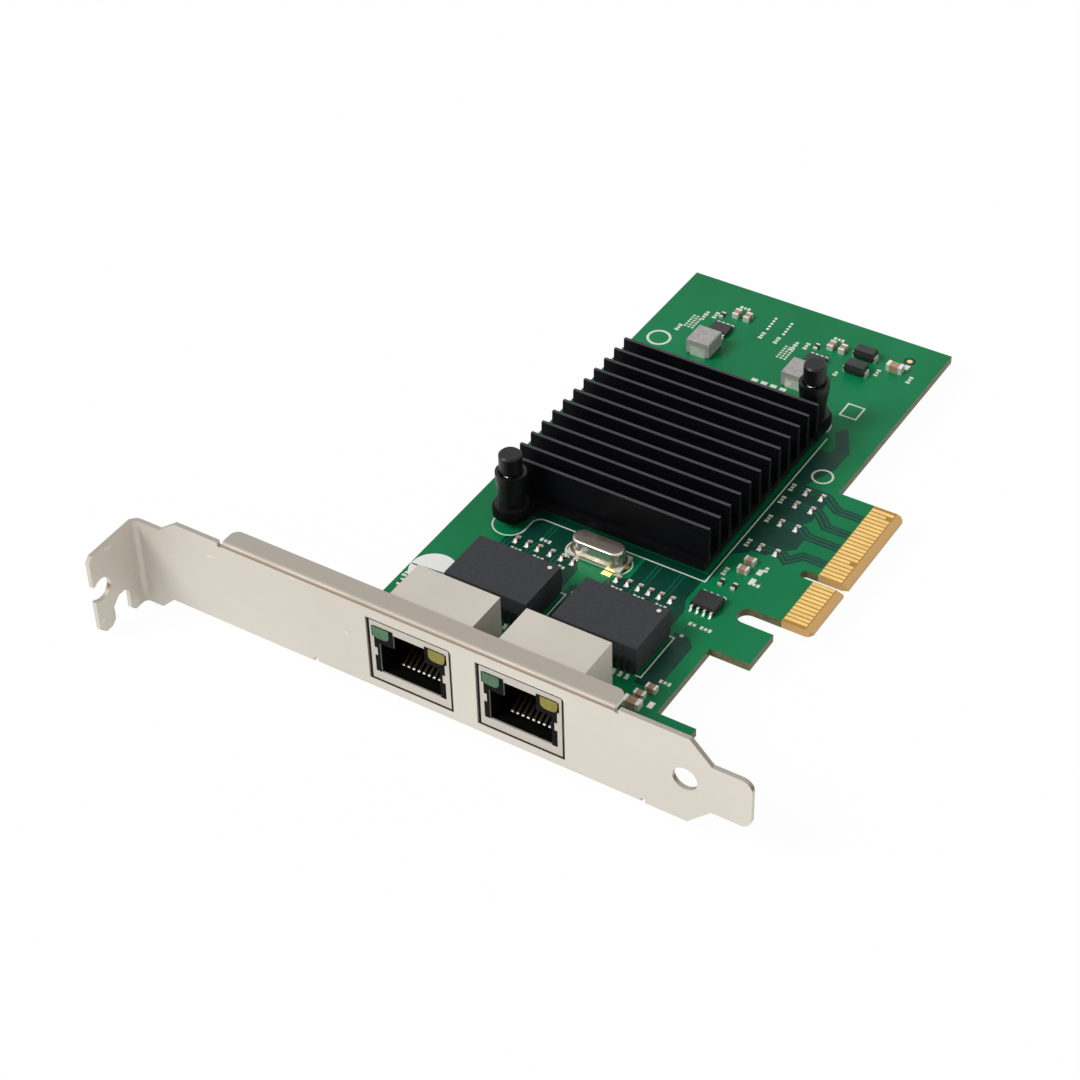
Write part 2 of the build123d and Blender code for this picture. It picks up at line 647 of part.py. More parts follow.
def push_pin_barrel(x, y):
    """Hollow tapered barrel that stands on the ear and reaches down to the board."""
    z = EAR_TOP
    rim = z + BARREL_HEIGHT
    floor = z + 1.2
    return turned(x, y, [
        (PIN_STEM_RADIUS + 0.1, 0.05),
        (PIN_SHANK_RADIUS, 0.05),
        (PIN_SHANK_RADIUS, z),
        (PIN_FLANGE_RADIUS, z),
        (PIN_FLANGE_RADIUS, z + PIN_FLANGE_HEIGHT),
        (BARREL_FOOT_RADIUS, z + PIN_FLANGE_HEIGHT),
        (BARREL_RIM_RADIUS, rim - 1.2),
        (BARREL_RIM_RADIUS, rim),
        (CAP_RADIUS + 0.15, rim),
        (BARREL_WALL_RADIUS, rim - 1.5),
        (BARREL_WALL_RADIUS - 0.3, floor),
        (PIN_STEM_RADIUS + 0.1, floor),
    ])


def push_pin_plunger(x, y):
    """Cap and stem with the barbed tip that locks under the board."""
    rim = EAR_TOP + BARREL_HEIGHT
    under = BOARD_BOTTOM
    return turned(x, y, [
        (0, under - TIP_BELOW),
        (0.5, under - TIP_BELOW),
        (TIP_RADIUS, under - 0.4),
        (TIP_RADIUS, under),
        (PIN_STEM_RADIUS, under),
        (PIN_STEM_RADIUS, rim + CAP_OVER),
        (CAP_RADIUS, rim + CAP_OVER),
        (CAP_RADIUS, CAP_TOP - 0.3),
        (CAP_RADIUS - 0.3, CAP_TOP),
        (0, CAP_TOP),
    ])


def push_pin_spring(x, y):
    """Compression spring in the barrel, drawn as a stack of wire turns."""
    low = EAR_TOP + 1.2
    high = EAR_TOP + BARREL_HEIGHT + CAP_OVER
    helix = Helix(pitch=(high - low - 2 * SPRING_WIRE) / SPRING_TURNS,
                  height=high - low - 2 * SPRING_WIRE, radius=SPRING_RADIUS)
    start = helix.position_at(0)
    section = Plane(origin=start, z_dir=helix.tangent_at(0)) * RegularPolygon(SPRING_WIRE, 4)
    coil = sweep(section, path=helix, is_frenet=True)
    return Pos(x, y, low + SPRING_WIRE) * coil


def gull_lead(x, edge_y, side, z_exit, run):
    """One bent lead that leaves a body's side and stands on the board."""
    foot = edge_y + side * run
    half = LEAD_SHEET / 2
    points = [
        (edge_y, z_exit),
        (foot, z_exit),
        (foot, half),
        (foot + side * LEAD_FOOT, half),
    ]
    low, high = x - LEAD_WIDTH / 2, x + LEAD_WIDTH / 2
    return lead_strip(points, side, low, high)


def lead_strip(points, side, x0, x1):
    """A stepped strip of three legs, built as one outline."""
    half = LEAD_SHEET / 2
    (y_a, z_top), (y_b, _), (_, z_low), (y_c, _) = points
    outline = [
        (y_a, z_top + half),
        (y_b + side * half, z_top + half),
        (y_b + side * half, z_low + half),
        (y_c, z_low + half),
        (y_c, z_low - half),
        (y_b - side * half, z_low - half),
        (y_b - side * half, z_top - half),
        (y_a, z_top - half),
    ]
    return side_plate(outline, x0, x1)


def row_xs(centre, count, pitch):
    """Evenly spaced places about a centre."""
    return [centre + (index - (count - 1) / 2) * pitch for index in range(count)]


def two_row_leads(centre, depth, count, pitch, z_exit):
    """Leads along the front and back sides of a body."""
    x, y = centre
    leads = []
    for side in (-1, 1):
        for place in row_xs(x, count, pitch):
            leads.append(gull_lead(place, y + side * depth / 2, side, z_exit, LEAD_RUN))
    return leads


def moulded_body(centre, size, standoff, draft):
    """Chip body with a parting line: both halves narrow away from it."""
    x, y = centre
    width, depth, height = size
    middle = standoff + (height - standoff) / 2
    waist = Pos(x, y, middle) * Rectangle(width, depth)
    foot = Pos(x, y, standoff) * Rectangle(width - draft, depth - draft)
    crown = Pos(x, y, height) * Rectangle(width - draft, depth - draft)
    return loft([foot, waist]) + loft([waist, crown])


def transformer_body(x):
    """Moulded module body with a pin-one dimple."""
    body = moulded_body((x, MODULE_Y), (MODULE_WIDTH, MODULE_DEPTH, MODULE_HEIGHT), MODULE_STANDOFF, 0.3)
    dimple = Pos(x + MODULE_WIDTH / 2 - 1.6, MODULE_Y + MODULE_DEPTH / 2 - 1.6, MODULE_HEIGHT)
    return body - dimple * Cylinder(0.45, 0.2)


def stadium(length, depth, z0, z1, x, y):
    """An upright can with two round ends."""
    face = SlotOverall(length, depth)
    return Pos(x, y, z0) * extrude(face, z1 - z0)


def crystal_can():
    """Drawn metal can of the crystal, with a rolled top edge."""
    can = stadium(CRYSTAL_LENGTH, CRYSTAL_DEPTH, CRYSTAL_BASE, CRYSTAL_HEIGHT, CRYSTAL_X, CRYSTAL_Y)
    can = fillet(can.edges().group_by(Axis.Z)[-1], 0.4)
    rim_length = CRYSTAL_LENGTH + 2 * CRYSTAL_RIM
    rim_depth = CRYSTAL_DEPTH + 2 * CRYSTAL_RIM
    rim = stadium(rim_length, rim_depth, CRYSTAL_BASE, CRYSTAL_BASE + 0.35, CRYSTAL_X, CRYSTAL_Y)
    return can + rim


def crystal_base():
    """Insulating plate between the can and the board."""
    length = CRYSTAL_LENGTH + 2 * CRYSTAL_RIM
    plate_depth = CRYSTAL_DEPTH + 2 * CRYSTAL_RIM
    height = CRYSTAL_BASE - LEAD_SHEET
    base = block(CRYSTAL_X - length / 2, CRYSTAL_X + length / 2,
                 CRYSTAL_Y - plate_depth / 2, CRYSTAL_Y + plate_depth / 2,
                 LEAD_SHEET, LEAD_SHEET + height)
    return base


def crystal_feet():
    """Two flat feet soldered to the board under the base."""
    length = CRYSTAL_LENGTH + 2 * CRYSTAL_RIM
    feet = []
    for side in (-1, 1):
        outer = CRYSTAL_X + side * (length / 2 + 0.5)
        inner = outer - side * CRYSTAL_FOOT * 1.4
        feet.append(block(min(inner, outer), max(inner, outer),
                          CRYSTAL_Y - 0.4, CRYSTAL_Y + 0.4, 0, LEAD_SHEET))
    return feet


def inductor_body(centre):
    """Pressed powder body with softened upright edges."""
    x, y = centre
    width, depth, height = INDUCTOR_SIZE
    body = block(x - width / 2, x + width / 2, y - depth / 2, y + depth / 2, INDUCTOR_FOOT, height)
    body = chamfer(body.edges().group_by(Axis.Z)[-1], 0.2)
    for side in (-1, 1):
        face = y + side * depth / 2
        body -= block(x - 1.6, x + 1.6, face - 0.25, face + 0.25, -1, 2.1)
    return body


def inductor_terminals(centre):
    """Clips folded from the front and back faces to the underside."""
    x, y = centre
    depth = INDUCTOR_SIZE[1]
    clips = []
    for side in (-1, 1):
        face = y + side * depth / 2
        inner = face - side * 0.25
        clip = block(x - 1.6, x + 1.6, min(inner, face), max(inner, face), 0, 2.1)
        under = face - side * 1.4
        clip += block(x - 1.6, x + 1.6, min(under, face), max(under, face), 0, INDUCTOR_FOOT)
        clips.append(clip)
    return clips


def diode_body(centre):
    """Moulded body with drafted sides."""
    return moulded_body(centre, DIODE_SIZE, DIODE_FOOT, 0.5)


def diode_leads(centre):
    """Flat leads that leave both ends and fold under the body."""
    x, y = centre
    width = DIODE_SIZE[0]
    leads = []
    for side in (-1, 1):
        face = x + side * width / 2
        outer = face + side * DIODE_FOOT
        lead = block(min(face, outer), max(face, outer), y - 0.75, y + 0.75, 0, 1.2)
        inner = face - side * 1.0
        lead += block(min(inner, outer), max(inner, outer), y - 0.75, y + 0.75, 0, DIODE_FOOT)
        leads.append(lead)
    return leads


def chip_part(centre, size, along_y):
    """Body and two end terminals of a chip capacitor or resistor."""
    x, y = centre
    length, width, height = size
    cap = length * TERMINAL_SHARE
    middle = length / 2 - cap
    turn = Pos(x, y, 0) * Rot(0, 0, 90 if along_y else 0)
    body = turn * block(-middle, middle, -width / 2, width / 2, 0, height * 0.96)
    ends = [turn * block(side * length / 2 if side < 0 else middle,
                         -middle if side < 0 else length / 2,
                         -width / 2, width / 2, 0, height) for side in (-1, 1)]
    return body, ends


def chip_parts(rows):
    """Bodies and terminals of several chip parts."""
    bodies, terminals = [], []
    for centre, size, along_y in rows:
        body, ends = chip_part(centre, size, along_y)
        bodies.append(body)
        terminals.extend(ends)
    return bodies, terminals


def capacitor_rows():
    """Every chip capacitor as centre, size and direction."""
    rows = [(place, CAPACITOR_LARGE, False) for place in LARGE_CAPACITORS_X]
    rows += [(place, CAPACITOR_MEDIUM, False) for place in MEDIUM_CAPACITORS_X]
    rows += [(place, CAPACITOR_MEDIUM, True) for place in MEDIUM_CAPACITORS_Y]
    for y in COUPLING_ROWS_Y:
        rows += [((x, y), CAPACITOR_SMALL, True) for x in COUPLING_COLUMNS_X]
    rows += [((x, FRONT_ROW_Y), CAPACITOR_SMALL, True) for x in FRONT_ROW_X]
    return rows


def write_board():
    """Board, contacts and bracket."""
    save("circuit_board", [board_with_jack_holes(circuit_board())])
    save("edge_contacts_top", edge_contacts(0, CONTACT_THICKNESS))
    bottom = BOARD_BOTTOM
    save("edge_contacts_bottom", edge_contacts(bottom - CONTACT_THICKNESS, bottom))
    save("bracket", [bracket()])
    save("bracket_screws", bracket_screws())


def write_jacks():
    """Shield, housing, springs and lights of both jacks."""
    for name, x in zip(JACK_NAMES, JACK_CENTRES):
        save(f"jack_{name}_shield", [jack_shield(x)])
        save(f"jack_{name}_housing", [jack_housing(x)])
        save(f"jack_{name}_contacts", jack_contacts(x))
        for light, side in (("link", -1), ("activity", 1)):
            body = light_box(x, side, LIGHT_RECESS, LIGHT_RECESS + LIGHT_LENGTH, 0)
            nose = fillet(body.edges().group_by(Axis.Y)[0].filter_by(Axis.X)[0:1], 0.6)
            save(f"jack_{name}_{light}_light", [nose])


def write_cooling():
    """Chip, pad, heatsink and its two spring-loaded push pins."""
    half = CHIP_SIZE / 2
    x, y = SINK_CENTRE_X, SINK_CENTRE_Y
    chip = block(x - half, x + half, y - half, y + half, 0, CHIP_HEIGHT)
    save("controller_chip", [chamfer(chip.edges().group_by(Axis.Z)[-1], 0.15)])
    half = PAD_SIZE / 2
    save("thermal_pad", [block(x - half, x + half, y - half, y + half, CHIP_HEIGHT, SINK_BOTTOM)])
    save("heatsink", [heatsink()])
    save("push_pin_barrels", [push_pin_barrel(*place) for place in PIN_PLACES])
    save("push_pin_plungers", [push_pin_plunger(*place) for place in PIN_PLACES])
    save("push_pin_springs", [push_pin_spring(*place) for place in PIN_PLACES])


def write_chips():
    """Transformer modules, crystal, memory and regulators."""
    for name, x in zip(JACK_NAMES, MODULE_CENTRES):
        save(f"transformer_{name}_body", [transformer_body(x)])
        leads = two_row_leads((x, MODULE_Y), MODULE_DEPTH, MODULE_LEAD_COUNT, MODULE_PITCH,
                              (MODULE_HEIGHT + MODULE_STANDOFF) / 2)
        save(f"transformer_{name}_leads", leads)
    save("crystal_can", [crystal_can()])
    save("crystal_base", [crystal_base()])
    save("crystal_feet", crystal_feet())
    save("memory_chip_body", [moulded_body(MEMORY_CENTRE, MEMORY_SIZE, 0.1, 0.3)])
    memory_exit = (MEMORY_SIZE[2] + 0.1) / 2
    save("memory_chip_leads", two_row_leads(MEMORY_CENTRE, MEMORY_SIZE[1], 4, 1.27, memory_exit))
    bodies = [moulded_body(place, REGULATOR_SIZE, 0.1, 0.2) for place in REGULATOR_CENTRES]
    save("regulator_bodies", bodies)
    leads = []
    for place in REGULATOR_CENTRES:
        leads += two_row_leads(place, REGULATOR_SIZE[1], 4, 1.0, (REGULATOR_SIZE[2] + 0.1) / 2)
    save("regulator_leads", leads)


def write_power_and_chip_parts():
    """Inductors, diodes, chip capacitors, chip resistors and the sticker."""
    save("inductor_bodies", [inductor_body(place) for place in INDUCTOR_CENTRES])
    clips = []
    for place in INDUCTOR_CENTRES:
        clips += inductor_terminals(place)
    save("inductor_terminals", clips)
    save("diode_bodies", [diode_body(place) for place in DIODE_CENTRES])
    leads = []
    for place in DIODE_CENTRES:
        leads += diode_leads(place)
    save("diode_leads", leads)
    bodies, ends = chip_parts(capacitor_rows())
    save("chip_capacitor_bodies", bodies)
    save("chip_capacitor_terminals", ends)
    rows = [(place, RESISTOR_SMALL, True) for place in SMALL_RESISTORS_Y]
    bodies, ends = chip_parts(rows)
    save("chip_resistor_bodies", bodies)
    save("chip_resistor_terminals", ends)
    x, y = STICKER_CENTRE
    save("round_sticker", [drum(x, y, 0, STICKER_THICKNESS, STICKER_RADIUS)])


os.makedirs("parts", exist_ok=True)
write_board()
write_jacks()
write_cooling()
write_chips()
write_power_and_chip_parts()
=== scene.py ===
import math
import bpy
import bmesh
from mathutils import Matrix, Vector


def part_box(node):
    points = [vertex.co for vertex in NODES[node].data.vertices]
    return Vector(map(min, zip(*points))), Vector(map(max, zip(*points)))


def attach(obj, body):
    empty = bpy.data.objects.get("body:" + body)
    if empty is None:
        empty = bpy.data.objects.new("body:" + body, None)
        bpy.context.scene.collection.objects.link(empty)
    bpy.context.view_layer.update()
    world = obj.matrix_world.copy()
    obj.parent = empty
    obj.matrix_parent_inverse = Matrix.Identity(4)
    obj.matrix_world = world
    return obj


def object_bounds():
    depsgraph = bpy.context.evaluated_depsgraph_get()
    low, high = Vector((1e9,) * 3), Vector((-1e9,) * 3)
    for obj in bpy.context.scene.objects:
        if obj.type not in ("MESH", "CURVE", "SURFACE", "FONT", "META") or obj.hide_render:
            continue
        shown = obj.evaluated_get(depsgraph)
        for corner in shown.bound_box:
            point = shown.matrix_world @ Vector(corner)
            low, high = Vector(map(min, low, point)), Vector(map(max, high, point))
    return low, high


# Looks of a network interface card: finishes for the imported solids, the flat print,
# tracks and pads that lie on them, and the stage with its light and camera.

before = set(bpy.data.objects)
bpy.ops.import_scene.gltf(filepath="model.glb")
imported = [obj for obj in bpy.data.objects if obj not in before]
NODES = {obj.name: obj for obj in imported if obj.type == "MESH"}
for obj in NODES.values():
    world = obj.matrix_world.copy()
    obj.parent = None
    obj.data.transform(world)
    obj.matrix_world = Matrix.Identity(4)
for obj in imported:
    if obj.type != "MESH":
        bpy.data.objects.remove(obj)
cad_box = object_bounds()

# Board coordinates in millimetres: X along the bracket, Y into the board, Z up from
# the face that carries the parts.
BOARD_FRONT = 1.3
BOARD_THICKNESS = 1.57
BOARD_EDGE_X = 55.9
board_low, board_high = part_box("circuit_board")
BOARD_X = board_low.x
BOARD_Y = board_low.y - BOARD_FRONT / 1000
BOARD_Z = board_high.z
CONTACT_INNER_X = (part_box("edge_contacts_top")[0].x - BOARD_X) * 1000

# Thickness of what lies on the board
PRINT_HEIGHT = 0.02
TRACK_HEIGHT = 0.012
PAD_HEIGHT = 0.03

SIDES = (-1, 1)
JACKS = ("left", "right")
MODULE_BODIES = ("transformer_left_body", "transformer_right_body")


def place(x, y, z=0.0):
    """A point in board millimetres as a point of the frame."""
    return Vector((BOARD_X + x / 1000, BOARD_Y + y / 1000, BOARD_Z + z / 1000))


def node_span(name):
    """A node's box in board millimetres, as low and high corners."""
    low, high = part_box(name)
    base = place(0, 0)
    return (low - base) * 1000, (high - base) * 1000


# Nodes of a material

def new_tree(name):
    mat = bpy.data.materials.new(name)
    mat.use_nodes = True
    nodes, links = mat.node_tree.nodes, mat.node_tree.links
    return mat, nodes, links, nodes["Principled BSDF"]


def noise(nodes, links, scale, detail=4.0, stretch=None):
    """A noise texture in object space, stretched along an axis if asked."""
    coords = nodes.new("ShaderNodeTexCoord")
    texture = nodes.new("ShaderNodeTexNoise")
    texture.inputs["Scale"].default_value = scale
    texture.inputs["Detail"].default_value = detail
    source = coords.outputs["Object"]
    if stretch:
        mapping = nodes.new("ShaderNodeMapping")
        mapping.inputs["Scale"].default_value = stretch
        links.new(source, mapping.inputs["Vector"])
        source = mapping.outputs["Vector"]
    links.new(source, texture.inputs["Vector"])
    return texture.outputs["Fac"]


def map_range(nodes, links, source, start, end):
    """Zero up to the start, one from the end, and a slope between them."""
    ramp = nodes.new("ShaderNodeMapRange")
    ramp.inputs["From Min"].default_value = start
    ramp.inputs["From Max"].default_value = end
    links.new(source, ramp.inputs["Value"])
    return ramp


def spread(nodes, links, source, low=0.0, high=1.0):
    """Maps the middle of a noise onto a range."""
    ramp = map_range(nodes, links, source, 0.3, 0.7)
    ramp.inputs["To Min"].default_value = low
    ramp.inputs["To Max"].default_value = high
    return ramp.outputs["Result"]


def math_step(nodes, links, operation, first, second=None):
    """One step of arithmetic on a socket and, where given, a number or a socket."""
    step = nodes.new("ShaderNodeMath")
    step.operation = operation
    links.new(first, step.inputs[0])
    if isinstance(second, float):
        step.inputs[1].default_value = second
    elif second is not None:
        links.new(second, step.inputs[1])
    return step.outputs["Value"]


def blend_colors(nodes, links, factor, a, b):
    """Mixes two colours, each a tuple or a socket."""
    mix = nodes.new("ShaderNodeMix")
    mix.data_type = "RGBA"
    links.new(factor, mix.inputs["Factor"])
    for value, socket in ((a, mix.inputs["A"]), (b, mix.inputs["B"])):
        if isinstance(value, tuple):
            socket.default_value = (*value, 1.0)
        else:
            links.new(value, socket)
    return mix.outputs["Result"]


def object_axis(nodes, links, axis):
    """One coordinate of the shaded point, in metres of the frame."""
    coords = nodes.new("ShaderNodeTexCoord")
    axes = nodes.new("ShaderNodeSeparateXYZ")
    links.new(coords.outputs["Object"], axes.inputs["Vector"])
    return axes.outputs[axis]


def upward(nodes, links):
    """How far a face looks up: one on a flat top, zero on a wall."""
    geometry = nodes.new("ShaderNodeNewGeometry")
    normal = nodes.new("ShaderNodeSeparateXYZ")
    links.new(geometry.outputs["Normal"], normal.inputs["Vector"])
    return normal.outputs["Z"]


def add_bump(nodes, links, shader, pattern, strength, depth):
    """Relief from a pattern, with its depth in metres."""
    bump = nodes.new("ShaderNodeBump")
    bump.inputs["Strength"].default_value = strength
    bump.inputs["Distance"].default_value = depth
    links.new(pattern, bump.inputs["Height"])
    links.new(bump.outputs["Normal"], shader.inputs["Normal"])


def shader_of(mat):
    return mat.node_tree.nodes["Principled BSDF"]


def set_specular(mat, level):
    shader_of(mat).inputs["Specular IOR Level"].default_value = level


def tint_where(mat, factor, color):
    """Lays a second colour over a finish where the factor is one."""
    nodes, links = mat.node_tree.nodes, mat.node_tree.links
    base = shader_of(mat).inputs["Base Color"]
    under = base.links[0].from_socket
    links.new(blend_colors(nodes, links, factor, under, color), base)


# Materials

GLOSS_SCALE = 2.3
LEAST_ROUGHNESS = 0.04
ROUGH_SPREAD = 0.06
GRAIN_STRENGTH = 0.6


def finish_material(name, color, rough, metal=0.0, mottle=0.08, mottle_scale=400.0,
                    grain=0.02, grain_scale=3000.0, stretch=None):
    """Base finish: uneven colour, uneven gloss and a fine grain."""
    mat, nodes, links, shader = new_tree(name)
    dark = tuple(c * (1 - mottle) for c in color)
    light = tuple(min(1.0, c * (1 + mottle)) for c in color)
    shade = spread(nodes, links, noise(nodes, links, mottle_scale, stretch=stretch))
    links.new(blend_colors(nodes, links, shade, dark, light), shader.inputs["Base Color"])
    gloss = noise(nodes, links, mottle_scale * GLOSS_SCALE, stretch=stretch)
    low, high = max(LEAST_ROUGHNESS, rough - ROUGH_SPREAD), rough + ROUGH_SPREAD
    links.new(spread(nodes, links, gloss, low, high), shader.inputs["Roughness"])
    shader.inputs["Metallic"].default_value = metal
    pattern = noise(nodes, links, grain_scale, stretch=stretch)
    add_bump(nodes, links, shader, pattern, GRAIN_STRENGTH, grain / 1000)
    return mat


TONGUE_START_Y = 46.0
BARE_MARGIN = 0.1
FLAT_FACE = 0.97


def board_material():
    """Solder mask over copper, bare laminate at the tongue and on the cut edges."""
    mat, nodes, links, shader = new_tree("board_mask")
    patches = spread(nodes, links, noise(nodes, links, 60.0, detail=1.0))
    mask = blend_colors(nodes, links, patches, (0.0, 0.155, 0.048), (0.002, 0.19, 0.066))
    beyond = math_step(nodes, links, "GREATER_THAN", object_axis(nodes, links, "X"),
                       place(CONTACT_INNER_X - BARE_MARGIN, 0).x)
    behind = math_step(nodes, links, "GREATER_THAN", object_axis(nodes, links, "Y"),
                       place(0, TONGUE_START_Y).y)
    tongue = math_step(nodes, links, "MULTIPLY", beyond, behind)
    face = blend_colors(nodes, links, tongue, mask, (0.43, 0.22, 0.045))
    level = math_step(nodes, links, "ABSOLUTE", upward(nodes, links))
    edge = math_step(nodes, links, "LESS_THAN", level, FLAT_FACE)
    weave = spread(nodes, links, noise(nodes, links, 900.0, stretch=(1, 1, 6)))
    laminate = blend_colors(nodes, links, weave, (0.06, 0.09, 0.035), (0.2, 0.17, 0.08))
    tip_edge = blend_colors(nodes, links, tongue, laminate, (0.62, 0.38, 0.15))
    links.new(blend_colors(nodes, links, edge, face, tip_edge), shader.inputs["Base Color"])
    gloss = spread(nodes, links, noise(nodes, links, 700.0), 0.3, 0.42)
    links.new(gloss, shader.inputs["Roughness"])
    add_bump(nodes, links, shader, noise(nodes, links, 1800.0), 0.25, 0.00001)
    set_specular(mat, 0.14)
    return mat


# Painted shade on the bracket's bend and on the rail behind it, set by how far the face turns
# up: from, to, colour
RAIL_PAINTED_SHADE = ((0.1, 0.3, (0.27, 0.19, 0.13)), (0.45, 0.8, (0.40, 0.36, 0.31)))


def bracket_material():
    """Satin plate with faint rolling lines and light scuffs, and painted shade on the rail and
    its bend.
    """
    mat, nodes, links, shader = new_tree("bracket_plate")
    wide = spread(nodes, links, noise(nodes, links, 18.0, detail=2.0))
    plate = blend_colors(nodes, links, wide, (0.66, 0.615, 0.54), (0.73, 0.685, 0.61))
    marks = noise(nodes, links, 220.0, detail=6.0, stretch=(1.0, 1.0, 3.5))
    worn = math_step(nodes, links, "GREATER_THAN", marks, 0.7)
    color = blend_colors(nodes, links, worn, plate, (0.78, 0.75, 0.69))
    rise = upward(nodes, links)
    # Painted shade: faces that turn up, at the bend and on the rail, get darker colours.
    for start, end, rail_shade in RAIL_PAINTED_SHADE:
        turned_up = map_range(nodes, links, rise, start, end).outputs["Result"]
        color = blend_colors(nodes, links, turned_up, color, rail_shade)
    links.new(color, shader.inputs["Base Color"])
    shader.inputs["Metallic"].default_value = 0.45
    gloss = noise(nodes, links, 500.0, stretch=(0.2, 1, 1))
    links.new(spread(nodes, links, gloss, 0.5, 0.62), shader.inputs["Roughness"])
    lines = noise(nodes, links, 1400.0, stretch=(0.15, 1, 1))
    add_bump(nodes, links, shader, lines, 0.35, 0.00003)
    return mat


def lens_material(name, color):
    """Tinted lens of an indicator, faintly cloudy inside, with a faint painted glow."""
    mat = finish_material(name, color, 0.3, mottle=0.18, mottle_scale=700.0, grain=0.01)
    shader = shader_of(mat)
    # Painted glow: a weak emission in the lens colour.
    shader.inputs["Emission Color"].default_value = (*color, 1.0)
    shader.inputs["Emission Strength"].default_value = 0.12
    set_specular(mat, 0.3)
    return mat


FIN_HIGHLIGHT_DEPTH = 0.00005


def heatsink_material():
    """Black anodised metal with a painted highlight in dull grey along the fin tips."""
    mat = finish_material("anodised_black", (0.0035, 0.0035, 0.0045), 0.45, 0.0, 0.3, 900, 0.02,
                          stretch=(0.15, 1, 1))
    nodes, links = mat.node_tree.nodes, mat.node_tree.links
    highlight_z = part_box("heatsink")[1].z - FIN_HIGHLIGHT_DEPTH
    fin_highlight = math_step(nodes, links, "GREATER_THAN", object_axis(nodes, links, "Z"), highlight_z)
    # Painted highlight: a thin grey band along the tops of the fins.
    tint_where(mat, fin_highlight, (0.06, 0.056, 0.064))
    set_specular(mat, 0.08)
    return mat


def crystal_material():
    """Drawn can: bright on its rolled sides, with painted shade darkening its flat, streaked
    top.
    """
    mat = finish_material("crystal_plate", (0.62, 0.59, 0.52), 0.3, 0.9, 0.1, 250, 0.01)
    nodes, links = mat.node_tree.nodes, mat.node_tree.links
    shaded_top = math_step(nodes, links, "GREATER_THAN", upward(nodes, links), 0.98)
    streaks = spread(nodes, links, noise(nodes, links, 900.0, stretch=(0.1, 1, 1)))
    top_shade = blend_colors(nodes, links, streaks, (0.20, 0.175, 0.145), (0.27, 0.24, 0.20))
    # Painted shade: the flat top gets a much darker colour than the sides.
    tint_where(mat, shaded_top, top_shade)
    return mat


LEAD_FOOT_TOP = 0.55


def module_lead_material():
    """Tinned feet, with painted shade turning the leads near black above them."""
    mat = finish_material("module_lead", (0.8, 0.78, 0.72), 0.4, 0.45, 0.1, 700, 0.01)
    nodes, links = mat.node_tree.nodes, mat.node_tree.links
    foot_z = place(0, 0, LEAD_FOOT_TOP).z
    lead_shade = math_step(nodes, links, "GREATER_THAN", object_axis(nodes, links, "Z"), foot_z)
    # Painted shade: the leads above the feet are coloured near black.
    tint_where(mat, lead_shade, (0.02, 0.02, 0.018))
    set_specular(mat, 0.2)
    return mat


WIRE_HIGHLIGHT_DEPTH = 0.00022


def jack_contact_material():
    """Plated wires painted near black as shade inside the jack, with a painted highlight on
    their front bends.
    """
    # Painted shade: the wires' own colour is near black.
    mat = finish_material("jack_contact_wire", (0.02, 0.016, 0.008), 0.4, 0.0, 0.1, 900, 0.01)
    nodes, links = mat.node_tree.nodes, mat.node_tree.links
    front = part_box("jack_left_contacts")[0].y + WIRE_HIGHLIGHT_DEPTH
    bend_highlight = math_step(nodes, links, "LESS_THAN", object_axis(nodes, links, "Y"), front)
    # Painted highlight: the front bends are near white.
    tint_where(mat, bend_highlight, (0.95, 0.91, 0.78))
    set_specular(mat, 0.1)
    return mat


# After the name and the colour: roughness, metal, mottle and its scale, grain and its scale
BOARD = board_material()
BRACKET = bracket_material()
GOLD = finish_material("contact_gold", (0.9, 0.62, 0.22), 0.3, 0.8, 0.1, 900, 0.01,
                       stretch=(0.3, 1, 1))
WIRE = jack_contact_material()
TIN = finish_material("lead_tin", (0.8, 0.78, 0.74), 0.36, 0.45, 0.12, 700, 0.01)
SHIELD = finish_material("shield_plate", (0.58, 0.54, 0.475), 0.5, 0.5, 0.05, 60, 0.01)
CAN = crystal_material()
CAN_FLANGE = finish_material("crystal_flange", (0.82, 0.79, 0.70), 0.38, 0.5, 0.1, 300, 0.01)
MODULE_LEAD = module_lead_material()
SCREW = finish_material("screw_plate", (0.6, 0.6, 0.58), 0.32, 1.0, 0.08, 600, 0.02)
SPRING = finish_material("spring_wire", (0.5, 0.5, 0.5), 0.3, 1.0)
ANODISED = heatsink_material()
PIN = finish_material("pin_nylon", (0.0035, 0.0035, 0.004), 0.4, 0.0, 0.2, 500, 0.02)
MODULE = finish_material("module_mould", (0.030, 0.031, 0.035), 0.7, 0.0, 0.14, 1200, 0.05, 5200)
CHIP = finish_material("chip_mould", (0.012, 0.012, 0.013), 0.5, 0.0, 0.15, 900, 0.03)
# This black also makes the painted shade in the gaps round the port shields.
HOUSING_AND_GAP_SHADE = finish_material("jack_mould_and_gap_shade", (0.003, 0.003, 0.003), 0.5, 0.0, 0.1, 700, 0.01)
POWDER = finish_material("pressed_powder", (0.36, 0.34, 0.33), 0.6, 0.0, 0.16, 1500, 0.1, 4000)
CERAMIC = finish_material("fired_ceramic", (0.40, 0.245, 0.15), 0.5, 0.0, 0.14, 1200, 0.04)
PAPER = finish_material("sticker_paper", (0.8, 0.8, 0.77), 0.7, 0.0, 0.03, 900, 0.03)
INK = finish_material("dark_ink", (0.02, 0.02, 0.02), 0.6)
PAD_SOFT = finish_material("thermal_sheet", (0.4, 0.4, 0.42), 0.8)
LEGEND = finish_material("legend_white", (0.66, 0.70, 0.60), 0.55, 0.0, 0.1, 2500, 0.02)
